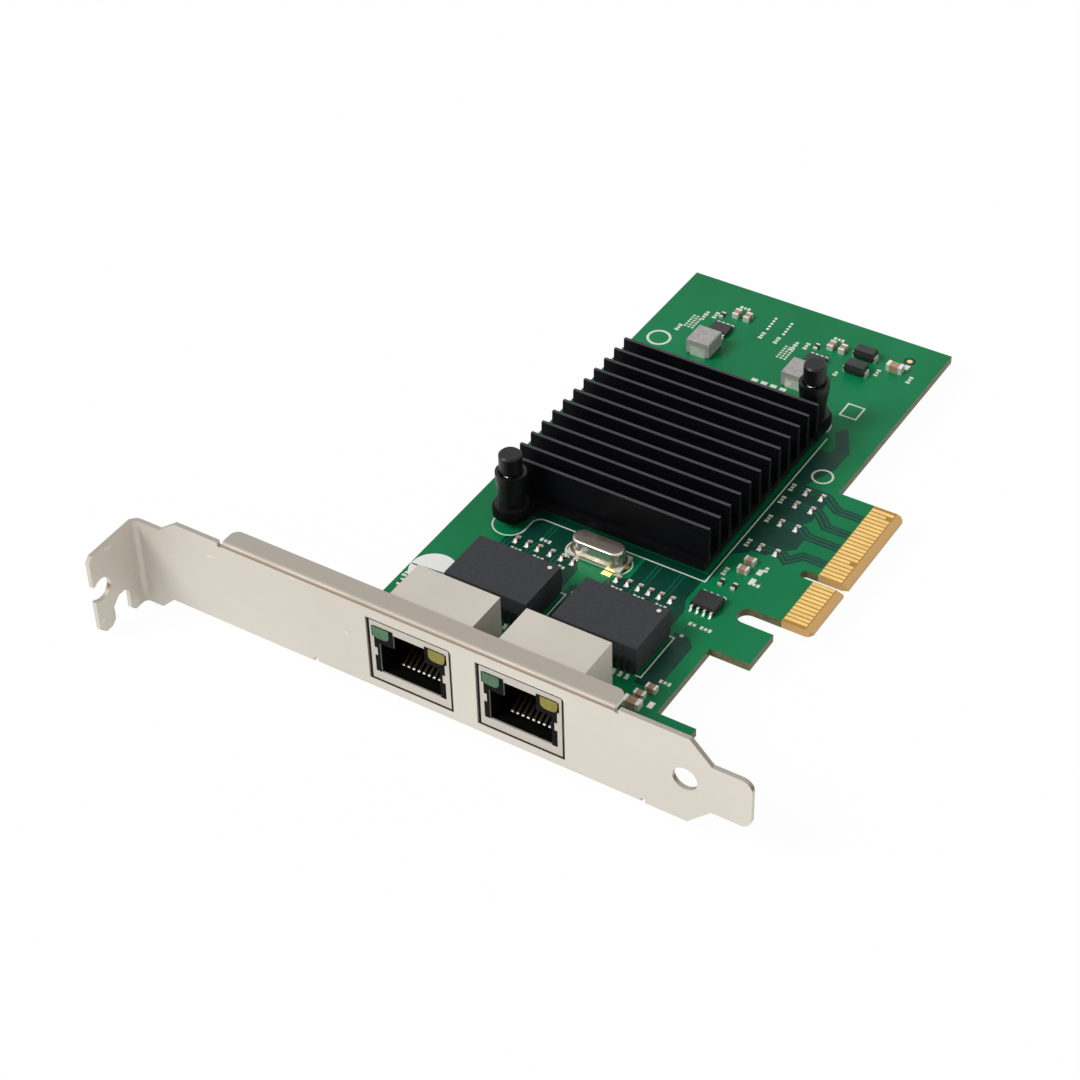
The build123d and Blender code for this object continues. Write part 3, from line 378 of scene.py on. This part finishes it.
# This dark mask colour also makes the painted shadow round the transformer modules and in front
# of the heatsink.
TRACK_AND_SHADE = finish_material("track_mask_and_shade", (0.0, 0.042, 0.026), 0.4, 0.0, 0.15, 300, 0.01)
TRACE = finish_material("trace_mask", (0.004, 0.10, 0.05), 0.4, 0.0, 0.1, 500, 0.01)
GREEN_LENS = lens_material("lens_green", (0.055, 0.145, 0.065))
YELLOW_LENS = lens_material("lens_yellow", (0.22, 0.185, 0.025))
for finish, level in ((PIN, 0.3), (MODULE, 0.3), (HOUSING_AND_GAP_SHADE, 0.06), (TRACK_AND_SHADE, 0.22), (TRACE, 0.22)):
    set_specular(finish, level)

NODE_MATERIALS = {
    "circuit_board": BOARD,
    "edge_contacts_top": GOLD,
    "edge_contacts_bottom": GOLD,
    "bracket": BRACKET,
    "bracket_screws": SCREW,
    "heatsink": ANODISED,
    "thermal_pad": PAD_SOFT,
    "controller_chip": CHIP,
    "push_pin_barrels": PIN,
    "push_pin_plungers": PIN,
    "push_pin_springs": SPRING,
    "transformer_left_body": MODULE,
    "transformer_right_body": MODULE,
    "transformer_left_leads": MODULE_LEAD,
    "transformer_right_leads": MODULE_LEAD,
    "crystal_can": CAN,
    "crystal_base": CAN_FLANGE,
    "crystal_feet": GOLD,
    "memory_chip_body": CHIP,
    "memory_chip_leads": TIN,
    "regulator_bodies": CHIP,
    "regulator_leads": TIN,
    "inductor_bodies": POWDER,
    "inductor_terminals": TIN,
    "diode_bodies": CHIP,
    "diode_leads": TIN,
    "chip_capacitor_bodies": CERAMIC,
    "chip_capacitor_terminals": TIN,
    "chip_resistor_bodies": CHIP,
    "chip_resistor_terminals": TIN,
    "round_sticker": PAPER,
}
for jack in JACKS:
    NODE_MATERIALS[f"jack_{jack}_shield"] = SHIELD
    NODE_MATERIALS[f"jack_{jack}_housing"] = HOUSING_AND_GAP_SHADE
    NODE_MATERIALS[f"jack_{jack}_contacts"] = WIRE
    NODE_MATERIALS[f"jack_{jack}_link_light"] = GREEN_LENS
    NODE_MATERIALS[f"jack_{jack}_activity_light"] = YELLOW_LENS


def dress_nodes():
    """Gives every node of the frame its finish."""
    for name, mat in NODE_MATERIALS.items():
        node = NODES[name]
        node.data.materials.clear()
        node.data.materials.append(mat)


# Shapes

ARC_STEPS = 12
LEAST_MITRE = 0.5


def close_sides(mesh, first, second):
    """Walls between two outlines that have the same number of points."""
    count = len(first)
    for i in range(count):
        j = (i + 1) % count
        mesh.faces.new((first[i], first[j], second[j], second[i]))


def prism(mesh, outline, z, height):
    """Adds a closed flat prism over an outline of board points."""
    low = [mesh.verts.new(place(x, y, z)) for x, y in outline]
    high = [mesh.verts.new(place(x, y, z + height)) for x, y in outline]
    mesh.faces.new(list(reversed(low)))
    mesh.faces.new(high)
    close_sides(mesh, low, high)


def upright(mesh, points, y0, y1):
    """A flat piece standing in the bracket's plane, from (x, z) points."""
    front = [mesh.verts.new(place(x, y0, z)) for x, z in points]
    back = [mesh.verts.new(place(x, y1, z)) for x, z in points]
    mesh.faces.new(front)
    mesh.faces.new(list(reversed(back)))
    close_sides(mesh, back, front)


def rectangle(x0, x1, y0, y1):
    """The corners of a rectangle, in order."""
    return [(x0, y0), (x1, y0), (x1, y1), (x0, y1)]


def bar(mesh, x, y, width, depth, z, height, turn=0.0):
    """A small rectangle, turned by some degrees about its centre."""
    c, s = math.cos(math.radians(turn)), math.sin(math.radians(turn))
    corners = rectangle(-width / 2, width / 2, -depth / 2, depth / 2)
    prism(mesh, [(x + a * c - b * s, y + a * s + b * c) for a, b in corners], z, height)


def disc(mesh, x, y, radius, z, height, steps=20):
    """A round flat dot."""
    turn = 2 * math.pi / steps
    rim = [(x + radius * math.cos(i * turn), y + radius * math.sin(i * turn))
           for i in range(steps)]
    prism(mesh, rim, z, height)


def arc(x, y, radius, start, end, steps=ARC_STEPS):
    """Points along an arc, angles in degrees."""
    angles = [math.radians(start + (end - start) * i / steps) for i in range(steps + 1)]
    return [(x + radius * math.cos(a), y + radius * math.sin(a)) for a in angles]


def offset_line(points, shift, closed=False):
    """The points of a line moved sideways, with mitred corners."""
    moved = []
    count = len(points)
    for i, point in enumerate(points):
        before = points[(i - 1) % count] if closed or i else None
        after = points[(i + 1) % count] if closed or i < count - 1 else None
        normals = []
        for a, b in ((before, point), (point, after)):
            if a is None or b is None:
                continue
            along = Vector((b[0] - a[0], b[1] - a[1])).normalized()
            normals.append(Vector((-along.y, along.x)))
        middle = sum(normals, Vector((0, 0))).normalized()
        reach = shift / max(LEAST_MITRE, middle.dot(normals[0]))
        moved.append((point[0] + middle.x * reach, point[1] + middle.y * reach))
    return moved


def ribbon(mesh, points, width, z, height, closed=False):
    """A flat line of even width."""
    left = offset_line(points, width / 2, closed)
    right = offset_line(points, -width / 2, closed)
    top = z + height
    sections = []
    for near, far in zip(right, left):
        corners = [(*near, z), (*far, z), (*far, top), (*near, top)]
        sections.append([mesh.verts.new(place(*corner)) for corner in corners])
    for a, b in zip(sections, sections[1:]):
        close_sides(mesh, a, b)
    if closed:
        close_sides(mesh, sections[-1], sections[0])
    else:
        mesh.faces.new(sections[0][::-1])
        mesh.faces.new(sections[-1])


def ring(mesh, x, y, radius, width):
    """A plain printed ring of 24 straight pieces."""
    ribbon(mesh, arc(x, y, radius, 0, 345, 23), width, 0, PRINT_HEIGHT, closed=True)


def add_object(name, data):
    obj = bpy.data.objects.new(name, data)
    bpy.context.scene.collection.objects.link(obj)
    return obj


def piece(name, draw, mat):
    """Makes one object from a drawing function and lets it ride with the part."""
    mesh = bmesh.new()
    draw(mesh)
    bmesh.ops.recalc_face_normals(mesh, faces=mesh.faces)
    data = bpy.data.meshes.new(name)
    mesh.to_mesh(data)
    mesh.free()
    data.materials.append(mat)
    obj = add_object(name, data)
    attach(obj, "root")


# Print on the board

SINK_LOW, SINK_HIGH = node_span("controller_chip")
SINK_X = (SINK_LOW.x + SINK_HIGH.x) / 2
SINK_Y = (SINK_LOW.y + SINK_HIGH.y) / 2
SINK_HALF_X = 20.35
SINK_HALF_Y = 21.8
SINK_LINE_END = 1.9
OUTLINE_GAP = 0.45
LINE = 0.28

# The line's loop round a pin ear, from the heatsink's centre, and the turn into it
LOBE = 3.2
LOBE_X = -16.7
LOBE_Y = -26.2
LOBE_TURN = 1.75
LOBE_TURN_X = -11.75


def lobe_half():
    """Half of the line round the heatsink: one side, one front and one ear."""
    right, front = SINK_HALF_X + OUTLINE_GAP, -SINK_HALF_Y - OUTLINE_GAP
    points = [(right, SINK_HALF_Y + SINK_LINE_END), (right, front)]
    points += arc(LOBE_TURN_X, front - LOBE_TURN, LOBE_TURN, 90, 180, 8)
    points += arc(LOBE_X, LOBE_Y, LOBE, 0, -195, 16)
    return points


def draw_sink_line(mesh):
    """Both halves of the line round the heatsink, one turned from the other."""
    half = lobe_half()
    for side in (1, -1):
        line = [(SINK_X + side * x, SINK_Y + side * y) for x, y in half]
        ribbon(mesh, line, LINE, 0, PRINT_HEIGHT)


MODULE_LINE_GAP = 0.7
MODULE_LINE_HOOK = 1.2
MODULE_LINE_INSET = 0.2
BOARD_DOT = (1.5, 0.9, 0.35)
BODY_DOT = (1.7, 1.3, 0.42)


def draw_module_lines(mesh):
    """Corner brackets beside both transformer modules, and the dots on the board."""
    for name in MODULE_BODIES:
        low, high = node_span(name)
        front, back = low.y + MODULE_LINE_INSET, high.y - MODULE_LINE_INSET
        for x, inward in ((low.x - MODULE_LINE_GAP, 1), (high.x + MODULE_LINE_GAP, -1)):
            hook = x + inward * MODULE_LINE_HOOK
            line = [(hook, back), (x, back), (x, front), (hook, front)]
            ribbon(mesh, line, LINE, 0, PRINT_HEIGHT)
        right, behind, radius = BOARD_DOT
        disc(mesh, high.x + right, high.y + behind, radius, 0, PRINT_HEIGHT)


def draw_module_dots(mesh):
    """The pin-one dot printed on each transformer module."""
    inset_x, inset_y, radius = BODY_DOT
    for name in MODULE_BODIES:
        high = node_span(name)[1]
        disc(mesh, high.x - inset_x, high.y - inset_y, radius, high.z, PRINT_HEIGHT)


CRYSTAL_LINE_GAP = 0.5
CRYSTAL_END_INSET = 2.0


def draw_crystal_line(mesh):
    """An arc round each end of the crystal."""
    low, high = node_span("crystal_can")
    middle = (low.y + high.y) / 2
    radius = (high.y - low.y) / 2 + CRYSTAL_LINE_GAP
    for x, start, end in ((low.x + CRYSTAL_END_INSET, 110, 250),
                          (high.x - CRYSTAL_END_INSET, 70, -70)):
        ribbon(mesh, arc(x, middle, radius, start, end), LINE, 0, PRINT_HEIGHT)


# Short bars stand where the board has its tiny part labels: x, y, count, turn
LABEL_BARS = (
    (8.6, 117.4, 4, 90), (10.4, 118.5, 3, 90), (28.4, 117.2, 4, 90), (30.4, 118.4, 3, 90),
    (14.3, 123.4, 3, 0), (34.9, 123.4, 3, 0), (21.3, 117.2, 3, 90), (24.6, 117.2, 3, 90),
    (39.2, 113.4, 2, 90), (45.9, 117.6, 3, 90), (52.2, 118.6, 3, 90),
    (48.0, 79.3, 3, 90), (48.0, 75.3, 3, 90), (48.4, 69.5, 3, 90), (48.4, 61.9, 3, 90),
    (54.6, 57.1, 2, 90), (54.6, 52.6, 3, 0), (48.6, 53.2, 3, 90),
    (14.0, 39.6, 3, 0), (18.6, 39.6, 3, 0), (23.4, 39.6, 2, 0), (34.6, 39.6, 3, 0),
    (39.0, 39.6, 3, 0), (43.4, 39.6, 3, 0), (53.0, 38.4, 3, 0), (50.4, 38.4, 2, 0),
    (53.6, 23.6, 3, 0), (0.9, 24.4, 2, 90), (27.0, 49.9, 2, 0), (17.4, 44.2, 3, 0),
    (12.0, 101.3, 2, 0), (34.0, 101.6, 2, 0), (6.0, 111.5, 3, 90),
)
BAR_WIDTH = 0.55
BAR_DEPTH = 0.85
BAR_STEP = 0.8
SHORT_BAR = 0.25


def draw_labels(mesh):
    """Rows of bars, with every second bar shorter."""
    for x, y, count, turn in LABEL_BARS:
        for i in range(count):
            shift = (i - (count - 1) / 2) * BAR_STEP
            dx, dy = (0, shift) if turn else (shift, 0)
            depth = BAR_DEPTH * (1 - SHORT_BAR * (i % 2))
            bar(mesh, x + dx, y + dy, BAR_WIDTH, depth, 0, PRINT_HEIGHT, turn)


# Rings: x, y, radius, width
MARK_RINGS = ((4.4, 106.6, 2.2, 0.5), (51.3, 84.7, 1.9, 0.4))
MARK_SQUARE = (45.6, 48.9, 102.6, 106.4)
MARK_SQUARE_LINE = 0.35
MARK_ROW = (26.9, 104.0)
MARK_ROW_STEP = 2.0
DOT_FIELDS = ((7.6, 114.5), (27.9, 114.5))
DOT_COLUMNS = (-0.8, 0, 0.8)
DOT_STEP = 0.75


def draw_generic_marks(mesh):
    """Plain rings, a plain square, a row of bars and two fields of small dashes."""
    for x, y, radius, width in MARK_RINGS:
        ring(mesh, x, y, radius, width)
    ribbon(mesh, rectangle(*MARK_SQUARE), MARK_SQUARE_LINE, 0, PRINT_HEIGHT, closed=True)
    for i in range(4):
        bar(mesh, MARK_ROW[0] + i * MARK_ROW_STEP, MARK_ROW[1], 1.3, 0.9, 0, PRINT_HEIGHT)
    for x, y in DOT_FIELDS:
        for column in DOT_COLUMNS:
            for row in range(6):
                bar(mesh, x + column, y + (row - 2.5) * DOT_STEP, 0.5, 0.4, 0, PRINT_HEIGHT)


# Tracks: where each pair starts at a capacitor and ends at the contacts, along Y
TRACK_PAIRS = ((78.6, 77.5), (74.4, 72.5), (68.6, 68.5), (61.0, 63.5))
PAIR_WIDTH = 2.1
PAIR_SPACING = 0.45
TRACE_WIDTH = 0.3
TRACE_XS = (11.6, 16.2, 21.4, 33.0, 37.4, 42.0)
TRACE_SPACING = 0.4
# Dark areas: partly mask over bare laminate, partly painted shadow round the transformer modules
# and in front of the heatsink.
MASK_AND_SHADE_AREAS = (
    ((47.4, 57.8), (49.8, 59.6), (49.8, 81.5), (52.4, 87.6), (52.4, 91.5), (47.4, 91.5)),
    ((49.8, 60.4), (52.6, 60.4), (53.8, 62.0), (56.6, 64.4), (56.6, 69.6), (54.4, 71.0),
     (55.4, 72.6), (55.4, 79.2), (53.6, 81.0), (49.8, 81.0)),
    ((49.4, 91.5), (52.4, 91.5), (52.6, 93.0), (48.9, 99.6), (47.4, 97.4), (49.4, 93.6)),
    ((10.6, 35.4), (26.4, 35.4), (26.4, 40.4), (24.0, 43.8), (21.2, 48.8), (12.6, 48.8),
     (12.6, 44.6), (10.6, 42.0)),
    ((31.8, 35.4), (47.6, 35.4), (47.6, 40.6), (46.4, 43.2), (46.4, 48.8), (35.2, 48.8),
     (35.2, 43.2), (31.8, 41.0)),
    ((8.0, 48.8), (46.4, 48.8), (46.4, 50.8), (8.0, 50.8)),
    ((46.4, 49.6), (47.4, 49.6), (47.4, 91.5), (46.4, 91.5)),
    ((27.4, 18.6), (31.6, 18.6), (31.6, 35.4), (29.6, 37.8), (27.4, 36.4)),
    ((48.9, 21.2), (51.6, 21.2), (53.2, 23.4), (53.2, 33.4), (51.6, 35.2), (48.9, 35.2)),
)


def track_route(start_y, end_y):
    """From a coupling capacitor, over the tongue, to a contact."""
    turn = abs(start_y - end_y)
    return [(49.4, start_y + 1.2), (54.9, start_y + 1.2), (56.4, start_y),
            (57.6 + turn * 0.35, end_y), (CONTACT_INNER_X - 0.3, end_y)]


def draw_channels_and_shade(mesh):
    """Dark bands where the mask lies on bare laminate between the copper areas, and dark areas
    of painted shadow round the transformer modules and in front of the heatsink.
    """
    for start_y, end_y in TRACK_PAIRS:
        ribbon(mesh, track_route(start_y, end_y), PAIR_WIDTH, 0, TRACK_HEIGHT)
    for outline in MASK_AND_SHADE_AREAS:
        prism(mesh, outline, 0, TRACK_HEIGHT / 2)


def draw_traces(mesh):
    """The thin tracks themselves, seen as lighter lines inside the dark bands."""
    for start_y, end_y in TRACK_PAIRS:
        route = track_route(start_y, end_y)
        for side in SIDES:
            line = offset_line(route, side * PAIR_SPACING)
            ribbon(mesh, line, TRACE_WIDTH, TRACK_HEIGHT, TRACK_HEIGHT)
    for x in TRACE_XS:
        route = [(x, 35.4), (x, 41.0), (x + 0.8, 43.2), (x + 0.8, 48.6)]
        for side in SIDES:
            ribbon(mesh, offset_line(route, side * TRACE_SPACING), TRACE_WIDTH, 0, TRACK_HEIGHT)


# Pads

PAD_WIDTH = 0.8
PAD_DEPTH = 0.7
PAD_OFFSET = 0.75
COUPLING_XS = (50.9, 54.0)
COUPLING_YS = (79.3, 75.3, 69.5, 61.9)
MODULE_ROW_Y = 41.9
MODULE_ROW_XS = (12.8, 15.2, 17.4, 20.0, 22.3, 24.6, 33.5, 35.7, 37.9, 40.0, 42.1, 44.3)
EMPTY_PADS = ((54.0, 55.9), (54.0, 53.2), (54.2, 17.9), (50.0, 121.9))
TEST_ROW_XS = (21.3, 24.8)
TEST_ROW_Y = 119.6
TEST_ROW_STEP = 0.95
TEST_ROW_LEAN = 0.05
LEAD_COUNT = 12
LEAD_PITCH = 1.27
LEAD_END = 0.3


def pad_pair(mesh, x, y):
    """The pads at both ends of a chip part that lies along Y."""
    for side in SIDES:
        bar(mesh, x, y + side * PAD_OFFSET, PAD_WIDTH, PAD_DEPTH, 0, PAD_HEIGHT)


def draw_pads(mesh):
    """Tinned pads beyond the ends of the parts, and the empty ones."""
    for y in COUPLING_YS:
        for x in COUPLING_XS:
            pad_pair(mesh, x, y)
    for x, y in EMPTY_PADS:
        bar(mesh, x, y, 1.0, 1.5, 0, PAD_HEIGHT)
    for x in MODULE_ROW_XS:
        pad_pair(mesh, x, MODULE_ROW_Y)
    for x in TEST_ROW_XS:
        for i in range(5):
            disc(mesh, x - TEST_ROW_LEAN * i, TEST_ROW_Y + i * TEST_ROW_STEP, 0.3, 0,
                 PAD_HEIGHT, 12)
    for name in JACKS:
        low, high = node_span(f"transformer_{name}_leads")
        middle = (low.x + high.x) / 2
        for y in (high.y - LEAD_END, low.y + LEAD_END):
            for i in range(LEAD_COUNT):
                x = middle + (i - (LEAD_COUNT - 1) / 2) * LEAD_PITCH
                bar(mesh, x, y, 0.7, 1.3, 0, PAD_HEIGHT)


REFERENCE = (49.7, 123.9)


def draw_gold_pads(mesh):
    """The reference dot at the board's corner, and the bare pad by the crystal."""
    disc(mesh, *REFERENCE, 0.55, TRACK_HEIGHT, PAD_HEIGHT)
    bar(mesh, 31.2, 42.4, 1.8, 1.5, 0, PAD_HEIGHT)


def draw_dark_ring(mesh):
    disc(mesh, *REFERENCE, 1.25, 0, TRACK_HEIGHT, 28)


def draw_sticker_line(mesh):
    """One dark line across the round sticker."""
    low, high = node_span("round_sticker")
    middle_x, middle_y = (low.x + high.x) / 2, (low.y + high.y) / 2
    bar(mesh, middle_x, middle_y, (high.x - low.x) * 0.94, 0.3, high.z, PRINT_HEIGHT, 5)


# Solder under the board: the share of the radius and the depth at each level
SOLDER_LEVELS = ((1.0, 0.0), (0.62, 0.28), (0.42, 0.75))
CONTACT_COUNT = 8
CONTACT_PITCH = 1.02
CONTACT_JOINT = 0.42
LEG_JOINT = 0.95
LEG_Y = 8.3


def solder_cone(mesh, x, y, radius):
    """A concave fillet of solder under the board."""
    rings = []
    for share, depth in SOLDER_LEVELS:
        level = []
        for i in range(12):
            angle = 2 * math.pi * i / 12
            level.append(mesh.verts.new(place(
                x + radius * share * math.cos(angle),
                y + radius * share * math.sin(angle),
                -BOARD_THICKNESS - depth)))
        rings.append(level)
    for a, b in zip(rings, rings[1:]):
        close_sides(mesh, a, b)
    mesh.faces.new(rings[0])
    mesh.faces.new(rings[-1])


def draw_joints(mesh):
    """Solder on the underside, at the jacks' contacts and at the legs of their shields."""
    for name in JACKS:
        low, high = node_span(f"jack_{name}_contacts")
        y = high.y - 0.15
        middle = (low.x + high.x) / 2
        for i in range(CONTACT_COUNT):
            x = middle + (i - (CONTACT_COUNT - 1) / 2) * CONTACT_PITCH
            solder_cone(mesh, x, y, CONTACT_JOINT)
        low, high = node_span(f"jack_{name}_shield")
        for x in (low.x + 0.15, high.x - 0.15):
            solder_cone(mesh, x, LEG_Y, LEG_JOINT)


# Faces of the ports: reach from a port's middle, and heights over the board
RIM_X = 6.95
RIM_TOP = 12.2
LATCH_X = 3.1
STEP_X = 5.95
NOTCH_INSET = 0.55
FACE_BOTTOM = 2.1
NOTCH_BOTTOM = 5.6
NOTCH_TOP = 7.4
LIGHT_ROW = 8.6
FACE_Y = (0.1, 0.149)

# Painted shade: widths of the black strips that stand for the shadow in the gaps between the
# shield and the bracket's window
SHADE_GAP_LEFT = 0.38
SHADE_GAP_RIGHT = 0.24
SHADE_GAP_BOTTOM = 0.26
SHADE_GAP_TOP = 0.1


def draw_port_faces_and_gap_shade(mesh):
    """The black mould seen inside the shield's rim, beside and above the port, and black strips
    of painted shade in the gap round the shield.
    """
    for name in JACKS:
        low, high = node_span(f"jack_{name}_shield")
        middle = (low.x + high.x) / 2
        for side in SIDES:
            latch, step, rim = (middle + side * x for x in (LATCH_X, STEP_X, RIM_X))
            notch = middle + side * (RIM_X - NOTCH_INSET)
            for box in ((step, rim, FACE_BOTTOM, NOTCH_BOTTOM),
                        (step, notch, NOTCH_BOTTOM, NOTCH_TOP),
                        (step, rim, NOTCH_TOP, LIGHT_ROW),
                        (latch, rim, LIGHT_ROW, RIM_TOP)):
                upright(mesh, rectangle(*box), *FACE_Y)
        # Painted shade: black strips round the shield's face stand for the shadow in the gap to
        # the bracket's window.
        left, right = low.x + SHADE_GAP_LEFT, high.x - SHADE_GAP_RIGHT
        for box in ((low.x, left, 0, high.z),
                    (right, high.x, 0, high.z),
                    (left, right, 0, SHADE_GAP_BOTTOM),
                    (left, right, high.z - SHADE_GAP_TOP, high.z)):
            upright(mesh, rectangle(*box), *FACE_Y)


LIGHT_X = 5.5
LIGHT_HALF = 1.6
LIGHT_BOTTOM = 9.7
LIGHT_TOP = RIM_TOP - 0.15
LIGHT_ROUND = 1.0
LENS_Y = (0.02, 0.099)


def light_outline(x):
    """Outline of a light: square above, rounded below."""
    left, right = x - LIGHT_HALF, x + LIGHT_HALF
    z = LIGHT_BOTTOM + LIGHT_ROUND
    points = [(left, LIGHT_TOP), (left, z)]
    points += arc(left + LIGHT_ROUND, z, LIGHT_ROUND, 180, 270, 5)[1:]
    points += arc(right - LIGHT_ROUND, z, LIGHT_ROUND, 270, 360, 5)
    return points + [(right, LIGHT_TOP)]


def draw_lights(side):
    """Front lenses of the lights on one side of both ports."""
    def draw(mesh):
        for name in JACKS:
            low, high = node_span(f"jack_{name}_shield")
            upright(mesh, light_outline((low.x + high.x) / 2 + side * LIGHT_X), *LENS_Y)
    return draw


SLOT_ROUND_X = 57.5
SLOT_Y = 45.0
SLOT_RADIUS = 1.9


def draw_slot_rounds(mesh):
    """Round inner end of the slot between the latch tab and the tongue."""
    low, high = node_span("circuit_board")
    start = math.degrees(math.acos((SLOT_ROUND_X - BOARD_EDGE_X) / SLOT_RADIUS))
    for side in SIDES:
        curve = [(SLOT_ROUND_X - SLOT_RADIUS * math.cos(math.radians(a)),
                  SLOT_Y + side * SLOT_RADIUS * math.sin(math.radians(a)))
                 for a in (start, 50, 65, 80, 90)]
        corner = (BOARD_EDGE_X, SLOT_Y + side * SLOT_RADIUS)
        prism(mesh, [corner] + curve, low.z, high.z - low.z)


def add_pieces():
    piece("track_channels_and_shade", draw_channels_and_shade, TRACK_AND_SHADE)
    piece("track_lines", draw_traces, TRACE)
    piece("heatsink_outline_print", draw_sink_line, LEGEND)
    piece("module_outline_print", draw_module_lines, LEGEND)
    piece("module_dots_print", draw_module_dots, LEGEND)
    piece("crystal_outline_print", draw_crystal_line, LEGEND)
    piece("label_bars_print", draw_labels, LEGEND)
    piece("plain_marks_print", draw_generic_marks, LEGEND)
    piece("solder_pads", draw_pads, TIN)
    piece("gold_pads", draw_gold_pads, GOLD)
    piece("reference_ring", draw_dark_ring, TRACK_AND_SHADE)
    piece("sticker_line", draw_sticker_line, INK)
    piece("solder_joints", draw_joints, TIN)
    piece("port_faces_and_gap_shade", draw_port_faces_and_gap_shade, HOUSING_AND_GAP_SHADE)
    piece("link_light_lenses", draw_lights(-1), GREEN_LENS)
    piece("activity_light_lenses", draw_lights(1), YELLOW_LENS)
    piece("slot_rounds", draw_slot_rounds, BOARD)


# Stage, light and camera

WHITE = (1, 1, 1, 1)
FLOOR_SIZE = 6.0
FLOOR_COLOR = (0.85, 0.85, 0.85, 1)
FLOOR_GLOW = 0.97
WORLD_FILL = 0.5
SUN_STRENGTH = 2.1
SUN_TURN = (math.radians(40), math.radians(-22), math.radians(-18))
SUN_SOFTNESS = math.radians(24)
CAMERA_PLACE = (206.61, -246.52, 299.49)
CAMERA_TURN = (49.2015, 1.3743, 32.0364)
CAMERA_LENS = 86.43
SENSOR = 36.0


def seen_ray(nodes, links):
    """One for rays that come from the camera, a reflection or a transmission."""
    path = nodes.new("ShaderNodeLightPath")
    total = path.outputs["Is Camera Ray"]
    for name in ("Is Glossy Ray", "Is Transmission Ray"):
        total = math_step(nodes, links, "MAXIMUM", total, path.outputs[name])
    return total


def mix_shaders(nodes, links, factor, first, second):
    mix = nodes.new("ShaderNodeMixShader")
    links.new(factor, mix.inputs["Fac"])
    links.new(first, mix.inputs[1])
    links.new(second, mix.inputs[2])
    return mix.outputs["Shader"]


def add_floor():
    """A floor that glows white to the camera and still takes the part's shadow."""
    mesh = bmesh.new()
    half = FLOOR_SIZE / 2
    mesh.faces.new([mesh.verts.new((x, y, cad_box[0].z))
                    for x, y in rectangle(-half, half, -half, half)])
    data = bpy.data.meshes.new("floor")
    mesh.to_mesh(data)
    mesh.free()
    floor = add_object("floor", data)
    mat, nodes, links, shader = new_tree("floor_white")
    shader.inputs["Base Color"].default_value = FLOOR_COLOR
    shader.inputs["Roughness"].default_value = 0.9
    glow = nodes.new("ShaderNodeEmission")
    glow.inputs["Color"].default_value = WHITE
    share = math_step(nodes, links, "MULTIPLY", seen_ray(nodes, links), FLOOR_GLOW)
    mixed = mix_shaders(nodes, links, share, shader.outputs["BSDF"], glow.outputs["Emission"])
    links.new(mixed, nodes["Material Output"].inputs["Surface"])
    data.materials.append(mat)


def add_world():
    """An even fill on the part, and a white backdrop."""
    world = bpy.data.worlds.new("studio")
    bpy.context.scene.world = world
    world.use_nodes = True
    nodes, links = world.node_tree.nodes, world.node_tree.links
    fill = nodes["Background"]
    white = nodes.new("ShaderNodeBackground")
    for background, strength in ((fill, WORLD_FILL), (white, 1.0)):
        background.inputs["Color"].default_value = WHITE
        background.inputs["Strength"].default_value = strength
    mixed = mix_shaders(nodes, links, seen_ray(nodes, links),
                        fill.outputs["Background"], white.outputs["Background"])
    links.new(mixed, nodes["World Output"].inputs["Surface"])


def add_sun():
    sun = bpy.data.lights.new("key", "SUN")
    sun.energy = SUN_STRENGTH
    sun.angle = SUN_SOFTNESS
    add_object("key", sun).rotation_euler = SUN_TURN


def add_camera():
    """The camera that was solved from the photo."""
    data = bpy.data.cameras.new("photo_camera")
    data.sensor_width = SENSOR
    data.lens = CAMERA_LENS
    data.clip_start = 0.01
    camera = add_object("photo_camera", data)
    camera.location = place(*CAMERA_PLACE)
    camera.rotation_euler = [math.radians(a) for a in CAMERA_TURN]
    bpy.context.scene.camera = camera


dress_nodes()
add_pieces()
add_floor()
add_world()
add_sun()
add_camera()
bpy.context.scene.view_settings.view_transform = "Standard"
